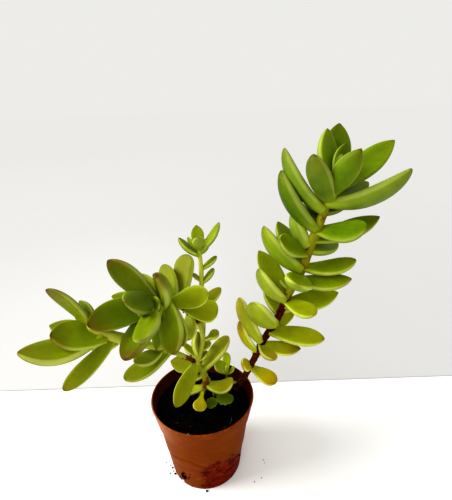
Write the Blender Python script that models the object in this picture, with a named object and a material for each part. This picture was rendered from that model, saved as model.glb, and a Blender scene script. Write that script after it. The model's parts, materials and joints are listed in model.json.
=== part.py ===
"""A young fleshy-leaved succulent with two leafy stems, in a small plastic nursery pot.

Metres, +Z up. The origin is the middle of the pot's flat base, and the viewer stands at -Y.
Each leafy stem is one grown piece: its leaves are sunk into the stem and fused with it.
"""
import math
from collections import namedtuple

import bmesh
import bpy
from mathutils import Matrix, Vector, noise

MM = 0.001

# The pot: a moulded nursery pot, 5.5 cm across its rim.
RIM_RADIUS = 27.5 * MM
POT_HEIGHT = 47.5 * MM
BASE_RADIUS = 19.3 * MM
WALL = 1.0 * MM
FLOOR = 1.4 * MM
COLLAR_HEIGHT = 11.5 * MM
COLLAR_STEP = 0.6 * MM
COLLAR_LEAN = 0.21
RING_HEIGHT = 18.0 * MM
RING_STEP = 0.3 * MM
EDGE_ROUND = 0.4 * MM
POT_SIDES = 48
NOTCHES = 2
NOTCH_WIDTH = 2.6 * MM
NOTCH_HEIGHT = 2.6 * MM
NOTCH_ANGLE = math.radians(-131)
NOTCH_REACH = 5.0 * MM

# The soil: a plug of potting mix that fills the pot, with an uneven top.
SOIL_TOP = 40.5 * MM
SOIL_BUMP = 1.0 * MM
SOIL_BUMP_SIZE = 7.0 * MM
SOIL_RINGS = 8
SOIL_SIDES = 36
GAP = 0.3 * MM
HOLE_SIDES = 10

# Every direction of a leaf is read from this viewpoint, level with the plant's upper leaves.
VIEWPOINT = Vector((15.3, -154.0, 190.3)) * MM
VIEW_PITCH = math.radians(21.4)
VIEW_ROLL = math.radians(2.0)

STEM_SIDES = 8
STEM_SPACING = 4.0
FINE_SPACING = 2.0

# A leaf's rings are at these shares of its length. A leaf shorter than SMALL_LEAF has fewer.
# Each outline goes round the leaf, in shares of its half width and of its thickness.
LEAF_RINGS = (0.0, 0.2, 0.42, 0.64, 0.82, 0.94)
LEAF_OUTLINE = ((-1, 0), (-0.6, 0.27), (0, 0.27), (0.6, 0.27),
                (1, 0), (0.62, -0.5), (0, -0.7), (-0.62, -0.5))
SMALL_LEAF = 9.0
SMALL_LEAF_RINGS = (0.0, 0.3, 0.6, 0.85)
SMALL_LEAF_OUTLINE = ((-1, 0), (-0.5, 0.3), (0.5, 0.3), (1, 0), (0.5, -0.62), (-0.5, -0.62))
SCALLOPED_RINGS = tuple(ring / 16 for ring in range(16))
SCALLOP_DEPTH = 0.2
SCALLOPED_THICKNESS = 0.9

# A fleshy leaf's thickness as a share of its width, at its root and at its thickest place.
THICKNESS = 0.55
ROOT_THICKNESS = 0.62
THICKEST = 0.45
ROUND_TIP = 0.55

# How a leaf's half width runs from its root, through its widest place, to its tip.
Form = namedtuple("Form", "root widest neck tip scallops", defaults=(0,))
ACUTE = Form(root=0.42, widest=0.58, neck=1.2, tip=0.82)
BLUNT = Form(root=0.40, widest=0.64, neck=1.3, tip=0.52)
CLUB = Form(root=0.34, widest=0.70, neck=1.6, tip=0.50)
FAN = Form(root=0.34, widest=0.76, neck=1.2, tip=0.48)
SPOON = Form(root=0.24, widest=0.78, neck=5.0, tip=0.50)
BROAD = Form(root=0.62, widest=0.56, neck=1.0, tip=0.66)
SCALLOPED = Form(root=0.20, widest=0.50, neck=1.0, tip=0.50, scallops=4)

# A leaf: its place along the stem (mm above the soil or the fork), then its direction as the
# viewer sees it. clock is the angle in the view, anticlockwise from the right, and toward is
# how far it points at the viewer. Then length and width (mm), form, upward curl, and turn, which
# is how far the upper face is turned to the viewer.
Leaf = namedtuple(
    "Leaf", "station clock toward length width form curl turn", defaults=(ACUTE, 15, 0))

# Stem routes, in mm: the first two points are the foot that stands in the soil.
TALL_ROUTE = (
    (17.6, 9.8, 34), (18.6, 10.2, 41), (22.4, 8.8, 48.5), (24.3, 7.8, 53.5), (26.6, 7.6, 58.4),
    (30.7, 8, 67.8), (32.2, 8, 72), (34.5, 8, 76.3), (39.3, 7.6, 85), (42.2, 6.4, 93),
    (44, 5, 100), (47, 3, 108.5), (51, 1, 119.3), (53.3, -1, 130), (55.5, -4, 140.4),
    (58.2, -6, 151), (60.4, -8, 158.5), (62, -9, 163))
TALL_THICK = (3.2, 3.4, 3.6, 3.8, 4.2, 4.2, 2.6)
MAIN_ROUTE = (
    (-2, 2, 34), (-1.7, 2.1, 41), (-0.6, 2.2, 46), (0.6, 2.7, 49), (1.6, 3.2, 51.8),
    (1.4, 4.2, 56.2), (-0.6, 4.5, 60.2), (-2, 4, 64.5), (-0.6, 4.4, 69), (0.8, 5.5, 74.5), (1.6, 6.5, 80),
    (0.6, 6.5, 86), (-2, 5, 92), (-5, 2, 98), (-8.5, -3, 104), (-12.5, -9, 108),
    (-16, -14, 110.5), (-18.5, -18, 112.5))
MAIN_THICK = (3.0, 3.8, 3.0, 2.8, 3.2, 3.4, 2.4)
FAR_ROUTE = (
    (-2, 4, 64.5), (-5.5, 2.5, 68.3), (-10.3, -1, 74.3), (-17, -8.4, 83.5), (-24.3, -17, 93),
    (-30.5, -24, 101), (-36.5, -28, 106.5), (-40.4, -29, 110))
FAR_THICK = (2.2, 2.6, 3.2, 4.0, 2.8)
SHOOT_ROUTE = (
    (1.6, 6.5, 80), (2.2, 7.5, 86), (2.4, 8, 94), (2.6, 8, 108), (2.8, 8, 120), (2.4, 8, 129))
SHOOT_THICK = (2.6, 2.2, 2.2, 2.2, 1.8)
OFFSET_ROUTE = ((13.6, 16.6, 35), (13.5, 16.8, 41), (13.3, 17, 47), (13.3, 17, 51))
OFFSET_THICK = (1.6, 1.6, 1.4)
SEEDLING_ROUTE = ((6.6, 0.6, 36), (6.5, 0.6, 41), (6.5, 0.9, 43), (6.6, 1.2, 44.5))
SEEDLING_THICK = (1.3, 1.2, 1.0)

TALL_LEAVES = (
    Leaf(19, -31, 20, 16.8, 9, CLUB, 0, 25),
    Leaf(20.5, 184, 60, 8.4, 7.4, BLUNT, 20, 30),
    Leaf(30, 123, 10, 18.5, 7.6, ACUTE, 62, -20),
    Leaf(36, 118.5, 0, 27, 10.4, BLUNT, 20, -25),
    Leaf(35, -7, 5, 20.6, 8.8, ACUTE, 30, 25),
    Leaf(34, -47, 50, 15, 8.4, BLUNT, 10),
    Leaf(41, 46, -25, 24, 8.2, BLUNT, 10),
    Leaf(44, -8, 10, 28, 11.4, BLUNT, 0, 25),
    Leaf(51, 141, 28, 17, 12, BLUNT, 45, -35),
    Leaf(55, 112, -15, 18, 8.4, ACUTE, 10),
    Leaf(62.5, 12.5, -10, 28.6, 11.4, ACUTE, 42, 18),
    Leaf(65, -22, 35, 20, 8.8, BLUNT, 15, 20),
    Leaf(66, 132, 15, 20.5, 10, BLUNT, 22, -35),
    Leaf(68, 123.5, -15, 28.5, 10.4, ACUTE, 28),
    Leaf(72, 115, -55, 18.5, 7.5, ACUTE, 10),
    Leaf(82, -82, 72, 15.5, 11.4, BLUNT, 10),
    Leaf(79, 0, 5, 25, 9.6, ACUTE, 14, 22),
    Leaf(85.5, 131.5, 10, 27, 11.4, ACUTE, 36),
    Leaf(86.5, 4.5, 0, 23.8, 9.4, BLUNT, 35, 22),
    Leaf(88, 122, -20, 26.5, 8.4, ACUTE, 10),
    Leaf(94, 152, 50, 20, 9, BLUNT, 15, 30),
    Leaf(96, 10, -50, 21.4, 9.4, ACUTE, 15, 20),
    Leaf(98, 111, -20, 18, 10.2, BLUNT, 20, -20),
    Leaf(102, 19, -10, 30.8, 10.2, ACUTE, 32, 15),
    Leaf(107, 2, 30, 22.8, 11, BLUNT, 15, 30),
    Leaf(108, 121, 10, 29.6, 11.8, ACUTE, 38),
    Leaf(110, 115, -45, 21, 5.6, ACUTE, 10),
    Leaf(115.5, 33, -45, 17, 7.6, ACUTE, 10),
    Leaf(117, 122.5, 0, 31.5, 10.6, ACUTE, 40),
    Leaf(121, 21.5, 5, 33.4, 10.4, ACUTE, 58),
    Leaf(122, 111, 40, 23.5, 11.6, BROAD, 15, -30),
    Leaf(124, 19, -45, 24, 9.4, ACUTE, 10, 15),
    Leaf(124.5, 58, 40, 24.5, 9.4, ACUTE, 30, -20),
    Leaf(127, 39.5, -5, 28.8, 10.4, ACUTE, 42, 32),
    Leaf(127.5, 90.5, -20, 28.5, 13.2, ACUTE, 15, 20),
    Leaf(130, 72, -10, 16.5, 8, ACUTE, 15),
    Leaf(131, 78, 25, 12.5, 5.5, ACUTE, 10),
    Leaf(131, 62, 10, 11, 5, ACUTE, 10),
    Leaf(27, 60, -70, 14, 7, BLUNT, 20),
    Leaf(48, 60, -74, 18, 8.0, BLUNT, 20),
    Leaf(59, 40, -68, 19, 8.2, ACUTE, 20),
    Leaf(77, 20, -66, 20, 8.6, ACUTE, 20),
    Leaf(91, 130, -72, 20, 8.8, ACUTE, 20),
    Leaf(104, 40, -70, 21, 8.8, ACUTE, 20),
    Leaf(119, 100, -66, 22, 9, ACUTE, 20),
    Leaf(126, 60, -62, 22, 9.4, ACUTE, 15),
)

MAIN_LEAVES = (
    Leaf(7.5, 258, 46, 15.4, 7.2, SPOON, 15, 10),
    Leaf(9, 192, 0, 15, 7.4, BLUNT, 0),
    Leaf(11, 4, 15, 15.5, 10.4, CLUB, 75, 20),
    Leaf(11.5, 3, -32, 19.6, 5, BLUNT, 10),
    Leaf(18, -62, -40, 12, 4.6, BLUNT, 0),
    Leaf(16, 200, -15, 8, 4.2, BLUNT, 0),
    Leaf(20.5, 160, -15, 17, 11, BLUNT, 10, 20),
    Leaf(19.5, 50, 10, 23, 11, BLUNT, 0, 10),
    Leaf(24, 242.5, 20, 24.5, 9.8, BROAD, -5, 20),
    Leaf(26, 45, 20, 7.5, 4.5, BLUNT, 10),
    Leaf(28, 137, -10, 11.5, 5.5, BLUNT, 10),
    Leaf(29, 95, 25, 14, 7.4, ACUTE, 15),
    Leaf(32, 48, -30, 8.5, 5, BLUNT, 10),
    Leaf(38, 30, 0, 10, 5.8, SPOON, 10),
    Leaf(54, 34, -30, 15, 6, BLUNT, 10),
    Leaf(57, 42, -10, 20.6, 8, BLUNT, 10),
    Leaf(59, 268, 25, 14.5, 6.8, BLUNT, 15),
    Leaf(65, -8, 20, 17.6, 11.2, FAN, 10),
    Leaf(69, 83, -10, 26, 11.4, FAN, 10),
    Leaf(76, 16, 30, 20, 10.4, BLUNT, 20),
    Leaf(72, 108, -20, 22, 9.6, BLUNT, 10),
    Leaf(75, 286, 15, 20, 8.8, BLUNT, 15),
    Leaf(79, 107, 45, 18, 9.2, BROAD, 20),
    Leaf(80, 282, 35, 25, 11.8, BROAD, 20),
    Leaf(82, 124, -20, 18.6, 8, ACUTE, 10),
    Leaf(82, 265, 0, 20, 8, ACUTE, 15),
    Leaf(84.5, 137.6, 15, 28.6, 10.8, BLUNT, 10),
    Leaf(85, 239, 30, 27.5, 11.2, ACUTE, 15),
    Leaf(86, 167, -25, 22, 8, ACUTE, 10),
    Leaf(87, 163, 55, 21, 9.8, BLUNT, 15),
    Leaf(88, 194.5, 20, 28, 11.6, BLUNT, 15),
    Leaf(89, 250, 55, 23, 10.8, BLUNT, 15, 20),
    Leaf(90, 200, 60, 8, 4, ACUTE, 10),
    Leaf(90, 20, 60, 7, 3.6, ACUTE, 10),
    Leaf(36, 110, -66, 12, 6, BLUNT, 20),
    Leaf(47, 150, -62, 14, 6.6, BLUNT, 20),
    Leaf(62, 60, -60, 18, 8, BLUNT, 20),
    Leaf(74, 60, -62, 20, 8.6, BLUNT, 20),
    Leaf(83, 300, -50, 18, 8, ACUTE, 20),
)

FAR_LEAVES = (
    Leaf(22, 211, 10, 24.4, 10.4, BLUNT, 10),
    Leaf(28, 205, 30, 17, 8.8, BLUNT, 15),
    Leaf(54, 196, -35, 17, 7, ACUTE, 10),
    Leaf(57, 225, 0, 27, 10, ACUTE, 52, -25),
    Leaf(62, 179, 25, 21.2, 12.2, BLUNT, 15, 35),
    Leaf(64, 193, 10, 30, 12.4, ACUTE, 44),
    Leaf(66, 172, -15, 19, 8.8, ACUTE, 10),
    Leaf(67, 118, -20, 14.5, 7, ACUTE, 10),
    Leaf(68, 131, -20, 12, 6, ACUTE, 10),
    Leaf(69, 137.5, 10, 22.4, 8.6, BLUNT, 40),
    Leaf(40, 150, -55, 15, 7, ACUTE, 20),
    Leaf(68.5, 230, -62, 12, 6, ACUTE, 20),
)

SHOOT_LEAVES = (
    Leaf(30, 50, 10, 9.5, 5, BLUNT, 10),
    Leaf(31, 139, -10, 6, 3.2, BLUNT, 10),
    Leaf(37.5, 40, 0, 10, 4.6, BLUNT, 10),
    Leaf(45, 141, 10, 13.2, 6.4, ACUTE, 22),
    Leaf(47, 56, 5, 16.8, 6.2, ACUTE, 20),
    Leaf(48, 132, 30, 9, 5, ACUTE, 10),
    Leaf(48.5, 97, -10, 11.5, 6.4, ACUTE, 10),
    Leaf(48.5, 93, 60, 10, 6.2, BLUNT, 10),
    Leaf(46, 60, -55, 11, 5.4, ACUTE, 15),
)

OFFSET_LEAVES = (
    Leaf(6, 152, 20, 8.2, 5.8, BLUNT, 10),
    Leaf(6.5, 90, -10, 10.8, 5, BLUNT, 10),
    Leaf(5.6, 42, 10, 7, 4.6, BLUNT, 30),
    Leaf(7, 120, 30, 7, 4, BLUNT, 20),
)

SEEDLING_LEAVES = (
    Leaf(2.6, 234, 40, 8.2, 6.8, SCALLOPED, 10, 10),
    Leaf(2.2, -4, 15, 10.5, 7.8, SCALLOPED, 10, 25),
    Leaf(3, 70, -50, 5.5, 4.4, SCALLOPED, 10),
)


def clear_scene():
    """Remove whatever the file holds."""
    for old in list(bpy.data.objects):
        bpy.data.objects.remove(old, do_unlink=True)


def paint(item, name, color, roughness):
    """Give the object its own material."""
    material = bpy.data.materials.new(name)
    material.use_nodes = True
    shader = material.node_tree.nodes["Principled BSDF"]
    shader.inputs["Base Color"].default_value = (*color, 1.0)
    shader.inputs["Roughness"].default_value = roughness
    shader.inputs["Metallic"].default_value = 0.0
    item.data.materials.clear()
    item.data.materials.append(material)
    material.diffuse_color = (*color, 1.0)


def add_object(name, bm, sharp_angle=40.0):
    """Close the bmesh into an object, shaded smooth except over its sharp edges."""
    bmesh.ops.recalc_face_normals(bm, faces=bm.faces)
    mesh = bpy.data.meshes.new(name)
    bm.to_mesh(mesh)
    bm.free()
    mesh.shade_smooth()
    mesh.set_sharp_from_angle(angle=math.radians(sharp_angle))
    item = bpy.data.objects.new(name, mesh)
    bpy.context.scene.collection.objects.link(item)
    return item


def turned(name, profile, sides):
    """Turn a closed outline of (radius, height) points about the Z axis."""
    bm = bmesh.new()
    rings = []
    for radius, height in profile:
        if radius == 0:
            rings.append([bm.verts.new((0, 0, height))])
            continue
        rings.append([
            bm.verts.new((radius * math.cos(a), radius * math.sin(a), height))
            for a in (2 * math.pi * k / sides for k in range(sides))])
    for lower, upper in zip(rings, rings[1:]):
        bridge(bm, lower, upper)
    return add_object(name, bm)


def bridge(bm, first, second):
    """Join two rings of vertices, or a ring and a single point."""
    count = max(len(first), len(second))
    for k in range(count):
        after = (k + 1) % count
        if len(first) == 1:
            bm.faces.new((first[0], second[k], second[after]))
        elif len(second) == 1:
            bm.faces.new((first[k], first[after], second[0]))
        else:
            bm.faces.new((first[k], first[after], second[after], second[k]))


def collar_radius(height):
    """The outside radius of the leaning collar under the rim."""
    return RIM_RADIUS - (POT_HEIGHT - height) * COLLAR_LEAN


def wall_radius(height):
    """The outside radius of the tapered wall below the collar."""
    wall_height = POT_HEIGHT - COLLAR_HEIGHT - COLLAR_STEP
    top = collar_radius(wall_height) - COLLAR_STEP
    step = RING_STEP if height >= RING_HEIGHT else 0.0
    return BASE_RADIUS + (top - RING_STEP - BASE_RADIUS) * height / wall_height + step


def inner_radius(height):
    """The inside radius of the pot."""
    if height >= POT_HEIGHT - COLLAR_HEIGHT:
        return collar_radius(height) - WALL
    return wall_radius(height) - WALL


def make_pot():
    """The pot: a thin tapered shell with a collar, a stacking ring and drainage notches."""
    collar_foot = POT_HEIGHT - COLLAR_HEIGHT
    wall_top = collar_foot - COLLAR_STEP
    profile = [
        (0, 0),
        (BASE_RADIUS - EDGE_ROUND, 0),
        (BASE_RADIUS, EDGE_ROUND),
        (wall_radius(RING_HEIGHT - RING_STEP), RING_HEIGHT - RING_STEP),
        (wall_radius(RING_HEIGHT), RING_HEIGHT),
        (wall_radius(wall_top), wall_top),
        (collar_radius(collar_foot), collar_foot),
        (RIM_RADIUS, POT_HEIGHT - EDGE_ROUND),
        (RIM_RADIUS - EDGE_ROUND, POT_HEIGHT),
        (RIM_RADIUS - WALL + EDGE_ROUND / 2, POT_HEIGHT),
        (inner_radius(POT_HEIGHT - EDGE_ROUND), POT_HEIGHT - EDGE_ROUND),
        (inner_radius(collar_foot), collar_foot),
        (inner_radius(wall_top), wall_top),
        (inner_radius(RING_HEIGHT), RING_HEIGHT),
        (inner_radius(FLOOR), FLOOR),
        (0, FLOOR),
    ]
    pot = turned("pot", profile, POT_SIDES)
    for number in range(NOTCHES):
        cut(pot, notch_cutter(NOTCH_ANGLE + 2 * math.pi * number / NOTCHES))
    paint(pot, "terracotta_plastic", (0.33, 0.11, 0.03), 0.42)
    return pot


def notch_cutter(angle):
    """A small block across the pot's lower edge, where water drains."""
    bm = bmesh.new()
    bmesh.ops.create_cube(bm, size=1.0)
    size = Matrix.Diagonal((NOTCH_REACH, NOTCH_WIDTH, 2 * NOTCH_HEIGHT, 1.0))
    out = Matrix.Translation((BASE_RADIUS, 0, 0))
    bm.transform(Matrix.Rotation(angle, 4, "Z") @ out @ size)
    return add_object("notch_cutter", bm)


def cut(item, cutter):
    """Cut the cutter out of the item, and remove the cutter."""
    cutter.hide_render = True
    cutter.display_type = "WIRE"
    modifier = item.modifiers.new("cut", "BOOLEAN")
    modifier.object = cutter
    modifier.operation = "DIFFERENCE"
    modifier.solver = "EXACT"
    keep_result(item)
    bpy.data.objects.remove(cutter, do_unlink=True)


def keep_result(item):
    """Apply the item's modifiers to its mesh."""
    bpy.context.view_layer.update()
    seen = item.evaluated_get(bpy.context.evaluated_depsgraph_get())
    mesh = bpy.data.meshes.new_from_object(seen)
    item.modifiers.clear()
    item.data = mesh


def soil_height(x, y, radius):
    """The uneven top of the soil, level where it meets the wall."""
    place = Vector((x, y, 0)) / SOIL_BUMP_SIZE
    share = math.hypot(x, y) / radius
    return SOIL_TOP + SOIL_BUMP * noise.noise(place) * (1 - share ** 4)


def make_soil(routes):
    """The plug of potting mix, with a plain hole for each stem's foot."""
    radius = inner_radius(SOIL_TOP) - GAP
    bottom = FLOOR + GAP
    bm = bmesh.new()
    rings = [[bm.verts.new((0, 0, soil_height(0, 0, radius)))]]
    for step in range(1, SOIL_RINGS + 1):
        reach = radius * step / SOIL_RINGS
        rings.append(soil_ring(bm, reach, radius))
    collar_foot = POT_HEIGHT - COLLAR_HEIGHT
    for height in (collar_foot, collar_foot - COLLAR_STEP, RING_HEIGHT, bottom):
        rings.append([
            bm.verts.new(((inner_radius(height) - GAP) * math.cos(a),
                          (inner_radius(height) - GAP) * math.sin(a), height))
            for a in (2 * math.pi * k / SOIL_SIDES for k in range(SOIL_SIDES))])
    rings.append([bm.verts.new((0, 0, bottom))])
    for first, second in zip(rings, rings[1:]):
        bridge(bm, first, second)
    soil = add_object("potting_soil", bm)
    for route, thick in routes:
        cut(soil, hole_cutter(route, thick))
    paint(soil, "potting_mix", (0.012, 0.009, 0.007), 0.95)
    return soil


def soil_ring(bm, reach, radius):
    """One ring of the soil's top."""
    ring = []
    for k in range(SOIL_SIDES):
        a = 2 * math.pi * k / SOIL_SIDES
        x = reach * math.cos(a)
        y = reach * math.sin(a)
        ring.append(bm.verts.new((x, y, soil_height(x, y, radius))))
    return ring


def hole_cutter(route, thick):
    """A plain round bore along the stem's foot, a gap wider and deeper than the foot."""
    foot = Vector(route[0]) * MM
    top = Vector(route[1]) * MM
    along = (top - foot).normalized()
    start = foot - along * GAP
    end = top + along * 3 * MM
    radius = (thick[0] / 2 * MM + GAP) / math.cos(math.pi / HOLE_SIDES)
    bm = bmesh.new()
    bmesh.ops.create_cone(
        bm, cap_ends=True, segments=HOLE_SIDES, radius1=radius, radius2=radius,
        depth=(end - start).length)
    turn = along.to_track_quat("Z", "Y").to_matrix().to_4x4()
    bm.transform(Matrix.Translation((start + end) / 2) @ turn)
    return add_object("hole_cutter", bm)


class Stem:
    """A stem's smooth route, its thickness, and places along it."""

    def __init__(self, route, thick, planted=True, spacing=STEM_SPACING):
        points = [Vector(point) for point in route]
        self.foot = (points[1] - points[0]).length if planted else 0.0
        self.thick = thick
        self.points = [points[0]]
        ends = [2 * points[0] - points[1], *points, 2 * points[-1] - points[-2]]
        for before, start, end, after in zip(ends, ends[1:], ends[2:], ends[3:]):
            pieces = max(1, round((end - start).length / spacing))
            for piece in range(1, pieces + 1):
                self.points.append(smooth_point(before, start, end, after, piece / pieces))
        self.lengths = [0.0]
        for start, end in zip(self.points, self.points[1:]):
            self.lengths.append(self.lengths[-1] + (end - start).length)

    def at(self, station):
        """The point and the direction at a distance from the soil or the fork, in mm."""
        reach = min(max(station + self.foot, 0.0), self.lengths[-1])
        for number in range(1, len(self.points)):
            if self.lengths[number] >= reach:
                break
        start = self.points[number - 1]
        end = self.points[number]
        share = (reach - self.lengths[number - 1]) / (end - start).length
        return start.lerp(end, share), (end - start).normalized()

    def radius(self, number):
        """The stem's radius in mm at one of its points."""
        place = self.lengths[number] / self.lengths[-1] * (len(self.thick) - 1)
        low = min(int(place), len(self.thick) - 2)
        share = place - low
        return (self.thick[low] * (1 - share) + self.thick[low + 1] * share) / 2


def smooth_point(before, start, end, after, share):
    """A point of the smooth curve through four points, between the middle two."""
    first = 0.5 * (end - before)
    last = 0.5 * (after - start)
    return (start * (2 * share ** 3 - 3 * share ** 2 + 1)
            + first * (share ** 3 - 2 * share ** 2 + share)
            + end * (3 * share ** 2 - 2 * share ** 3)
            + last * (share ** 3 - share ** 2))


def stem_mesh(stem):
    """A round tube along the stem with a blunt end, in metres."""
    bm = bmesh.new()
    rings = []
    side = None
    for number, point in enumerate(stem.points):
        before = stem.points[max(number - 1, 0)]
        after = stem.points[min(number + 1, len(stem.points) - 1)]
        along = (after - before).normalized()
        side = (side or Vector((1, 0, 0))).cross(along).cross(along).normalized() * -1
        across = along.cross(side)
        radius = stem.radius(number)
        rings.append([
            bm.verts.new((point + radius * (side * math.cos(a) + across * math.sin(a))) * MM)
            for a in (2 * math.pi * k / STEM_SIDES for k in range(STEM_SIDES))])
    tip = stem.points[-1] + along * stem.radius(len(stem.points) - 1)
    rings.append([bm.verts.new(tip * MM)])
    for first, second in zip(rings, rings[1:]):
        bridge(bm, first, second)
    bm.faces.new(rings[0])
    return bm


def view_axes(place):
    """The view's right, up and depth directions for someone looking at a place."""
    right = Vector((1, 0, 0))
    depth = Vector((0, math.cos(VIEW_PITCH), -math.sin(VIEW_PITCH)))
    up = right.cross(depth)
    look = (place - VIEWPOINT).normalized()
    turn = depth.rotation_difference(look)
    roll = Matrix.Rotation(VIEW_ROLL, 3, look)
    return roll @ (turn @ right), roll @ (turn @ up), look


def leaf_axes(leaf, place, stem_direction):
    """The leaf's own directions: along it, across it and out of its upper face."""
    right, up, look = view_axes(place)
    clock = math.radians(leaf.clock)
    toward = math.radians(leaf.toward)
    flat = right * math.cos(clock) + up * math.sin(clock)
    along = flat * math.cos(toward) - look * math.sin(toward)
    face = (stem_direction - along * stem_direction.dot(along)).normalized()
    side = 1 if along.dot(face.cross(-look)) > 0 else -1
    face = Matrix.Rotation(side * math.radians(leaf.turn), 3, along) @ face
    return along, face.cross(along), face


def half_width(form, share):
    """The leaf's half width at a share of its length, as a part of its greatest."""
    if share < form.widest:
        rise = math.sin(math.pi / 2 * share / form.widest) ** form.neck
        width = form.root + (1 - form.root) * rise
    else:
        fall = (share - form.widest) / (1 - form.widest)
        width = (1 - fall ** 2) ** form.tip
    if form.scallops:
        width *= 1 - SCALLOP_DEPTH * (1 - abs(math.sin(math.pi * form.scallops * share)))
    return width


def leaf_thickness(leaf, share):
    """The leaf's thickness in mm at a share of its length."""
    if leaf.form.scallops:
        return SCALLOPED_THICKNESS
    if share < THICKEST:
        rise = math.sin(math.pi / 2 * share / THICKEST)
        part = ROOT_THICKNESS + (1 - ROOT_THICKNESS) * rise
    else:
        part = (1 - ((share - THICKEST) / (1 - THICKEST)) ** 2) ** ROUND_TIP
    return leaf.width * THICKNESS * part


def leaf_mesh(stem, leaf):
    """One fleshy leaf with its root on the stem's axis, in metres."""
    place, stem_direction = stem.at(leaf.station)
    along, across, face = leaf_axes(leaf, place * MM, stem_direction)
    rings_at, outline = LEAF_RINGS, LEAF_OUTLINE
    if leaf.form.scallops:
        rings_at = SCALLOPED_RINGS
    elif leaf.length < SMALL_LEAF:
        rings_at, outline = SMALL_LEAF_RINGS, SMALL_LEAF_OUTLINE
    curl = math.radians(leaf.curl)
    bm = bmesh.new()
    rings = []
    for share in rings_at:
        middle, out = arc_place(along, face, leaf.length, curl, share)
        half = leaf.width / 2 * half_width(leaf.form, share)
        depth = leaf_thickness(leaf, share)
        rings.append([
            bm.verts.new((place + middle + across * half * x + out * depth * z) * MM)
            for x, z in outline])
    tip, _ = arc_place(along, face, leaf.length, curl, 1.0)
    rings.append([bm.verts.new((place + tip) * MM)])
    for first, second in zip(rings, rings[1:]):
        bridge(bm, first, second)
    bm.faces.new(rings[0])
    return bm


def arc_place(along, face, length, curl, share):
    """A place on the leaf's midline, a flat arc over its chord, and the upward direction."""
    if abs(curl) < 0.01:
        return along * length * share, face
    radius = length / (2 * math.sin(curl / 2))
    angle = curl * (share - 0.5)
    forward = radius * (math.sin(angle) + math.sin(curl / 2))
    sag = radius * (math.cos(curl / 2) - math.cos(angle))
    out = face * math.cos(angle) - along * math.sin(angle)
    return along * forward + face * sag, out


def grown(name, shoots, color):
    """Fuse stems and their leaves into one grown piece."""
    parts = bpy.data.collections.new(name + "_parts")
    bpy.context.scene.collection.children.link(parts)
    body = None
    for stem, leaves in shoots:
        meshes = [stem_mesh(stem)] + [leaf_mesh(stem, leaf) for leaf in leaves]
        for bm in meshes:
            piece = add_object(name if body is None else name + "_part", bm)
            if body is None:
                body = piece
                continue
            bpy.context.scene.collection.objects.unlink(piece)
            parts.objects.link(piece)
    union = body.modifiers.new("fuse", "BOOLEAN")
    union.operation = "UNION"
    union.operand_type = "COLLECTION"
    union.collection = parts
    union.solver = "EXACT"
    keep_result(body)
    for piece in list(parts.objects):
        bpy.data.objects.remove(piece, do_unlink=True)
    bpy.data.collections.remove(parts)
    keep_largest_skin(body)
    paint(body, name + "_green", color, 0.38)
    return body


def keep_largest_skin(item):
    """Drop loose scraps and the walls of sealed hollows, which leaves one closed skin."""
    bm = bmesh.new()
    bm.from_mesh(item.data)
    bmesh.ops.triangulate(bm, faces=bm.faces)
    waiting = set(bm.faces)
    skins = []
    while waiting:
        skin = [waiting.pop()]
        for face in skin:
            for edge in face.edges:
                for other in edge.link_faces:
                    if other in waiting:
                        waiting.discard(other)
                        skin.append(other)
        skins.append(skin)
    skins.sort(key=len)
    for skin in skins[:-1]:
        bmesh.ops.delete(bm, geom=skin, context="FACES")
    bm.to_mesh(item.data)
    bm.free()
    item.data.shade_smooth()
    item.data.set_sharp_from_angle(angle=math.radians(40))


def main():
    """Build the pot, the soil and the four grown pieces."""
    clear_scene()
    make_pot()
    make_soil((
        (TALL_ROUTE, TALL_THICK), (MAIN_ROUTE, MAIN_THICK),
        (OFFSET_ROUTE, OFFSET_THICK), (SEEDLING_ROUTE, SEEDLING_THICK)))
    grown("tall_leafy_stem", [
        (Stem(TALL_ROUTE, TALL_THICK), TALL_LEAVES)], (0.17, 0.25, 0.01))
    grown("forked_leafy_stem", [
        (Stem(MAIN_ROUTE, MAIN_THICK), MAIN_LEAVES),
        (Stem(FAR_ROUTE, FAR_THICK, planted=False), FAR_LEAVES),
        (Stem(SHOOT_ROUTE, SHOOT_THICK, planted=False), SHOOT_LEAVES)], (0.15, 0.24, 0.01))
    grown("offset_plantlet", [
        (Stem(OFFSET_ROUTE, OFFSET_THICK, spacing=FINE_SPACING), OFFSET_LEAVES)],
        (0.2, 0.3, 0.02))
    grown("scalloped_seedling", [
        (Stem(SEEDLING_ROUTE, SEEDLING_THICK, spacing=FINE_SPACING), SEEDLING_LEAVES)],
        (0.05, 0.12, 0.01))


if __name__ == "__main__":
    main()
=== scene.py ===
import json
import math
from collections import namedtuple

import bmesh
import bpy
import numpy as np
from mathutils import Matrix, Vector, noise

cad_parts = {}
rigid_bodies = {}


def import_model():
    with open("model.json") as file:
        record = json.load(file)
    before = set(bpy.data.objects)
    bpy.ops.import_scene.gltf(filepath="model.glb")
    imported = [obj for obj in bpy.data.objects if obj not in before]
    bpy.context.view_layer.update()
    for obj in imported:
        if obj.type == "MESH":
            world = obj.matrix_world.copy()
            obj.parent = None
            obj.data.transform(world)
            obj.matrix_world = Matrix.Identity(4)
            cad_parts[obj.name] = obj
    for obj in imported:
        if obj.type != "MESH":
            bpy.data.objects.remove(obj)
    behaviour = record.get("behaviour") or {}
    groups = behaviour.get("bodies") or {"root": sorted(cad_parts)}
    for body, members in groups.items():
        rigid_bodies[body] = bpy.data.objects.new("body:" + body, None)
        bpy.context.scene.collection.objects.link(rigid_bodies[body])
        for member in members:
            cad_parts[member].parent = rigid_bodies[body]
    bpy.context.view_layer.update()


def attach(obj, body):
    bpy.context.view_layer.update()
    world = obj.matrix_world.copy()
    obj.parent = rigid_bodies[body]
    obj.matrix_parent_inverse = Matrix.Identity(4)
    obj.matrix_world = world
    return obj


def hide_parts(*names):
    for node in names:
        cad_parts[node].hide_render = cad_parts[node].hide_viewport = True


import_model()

MM = 0.001

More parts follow.
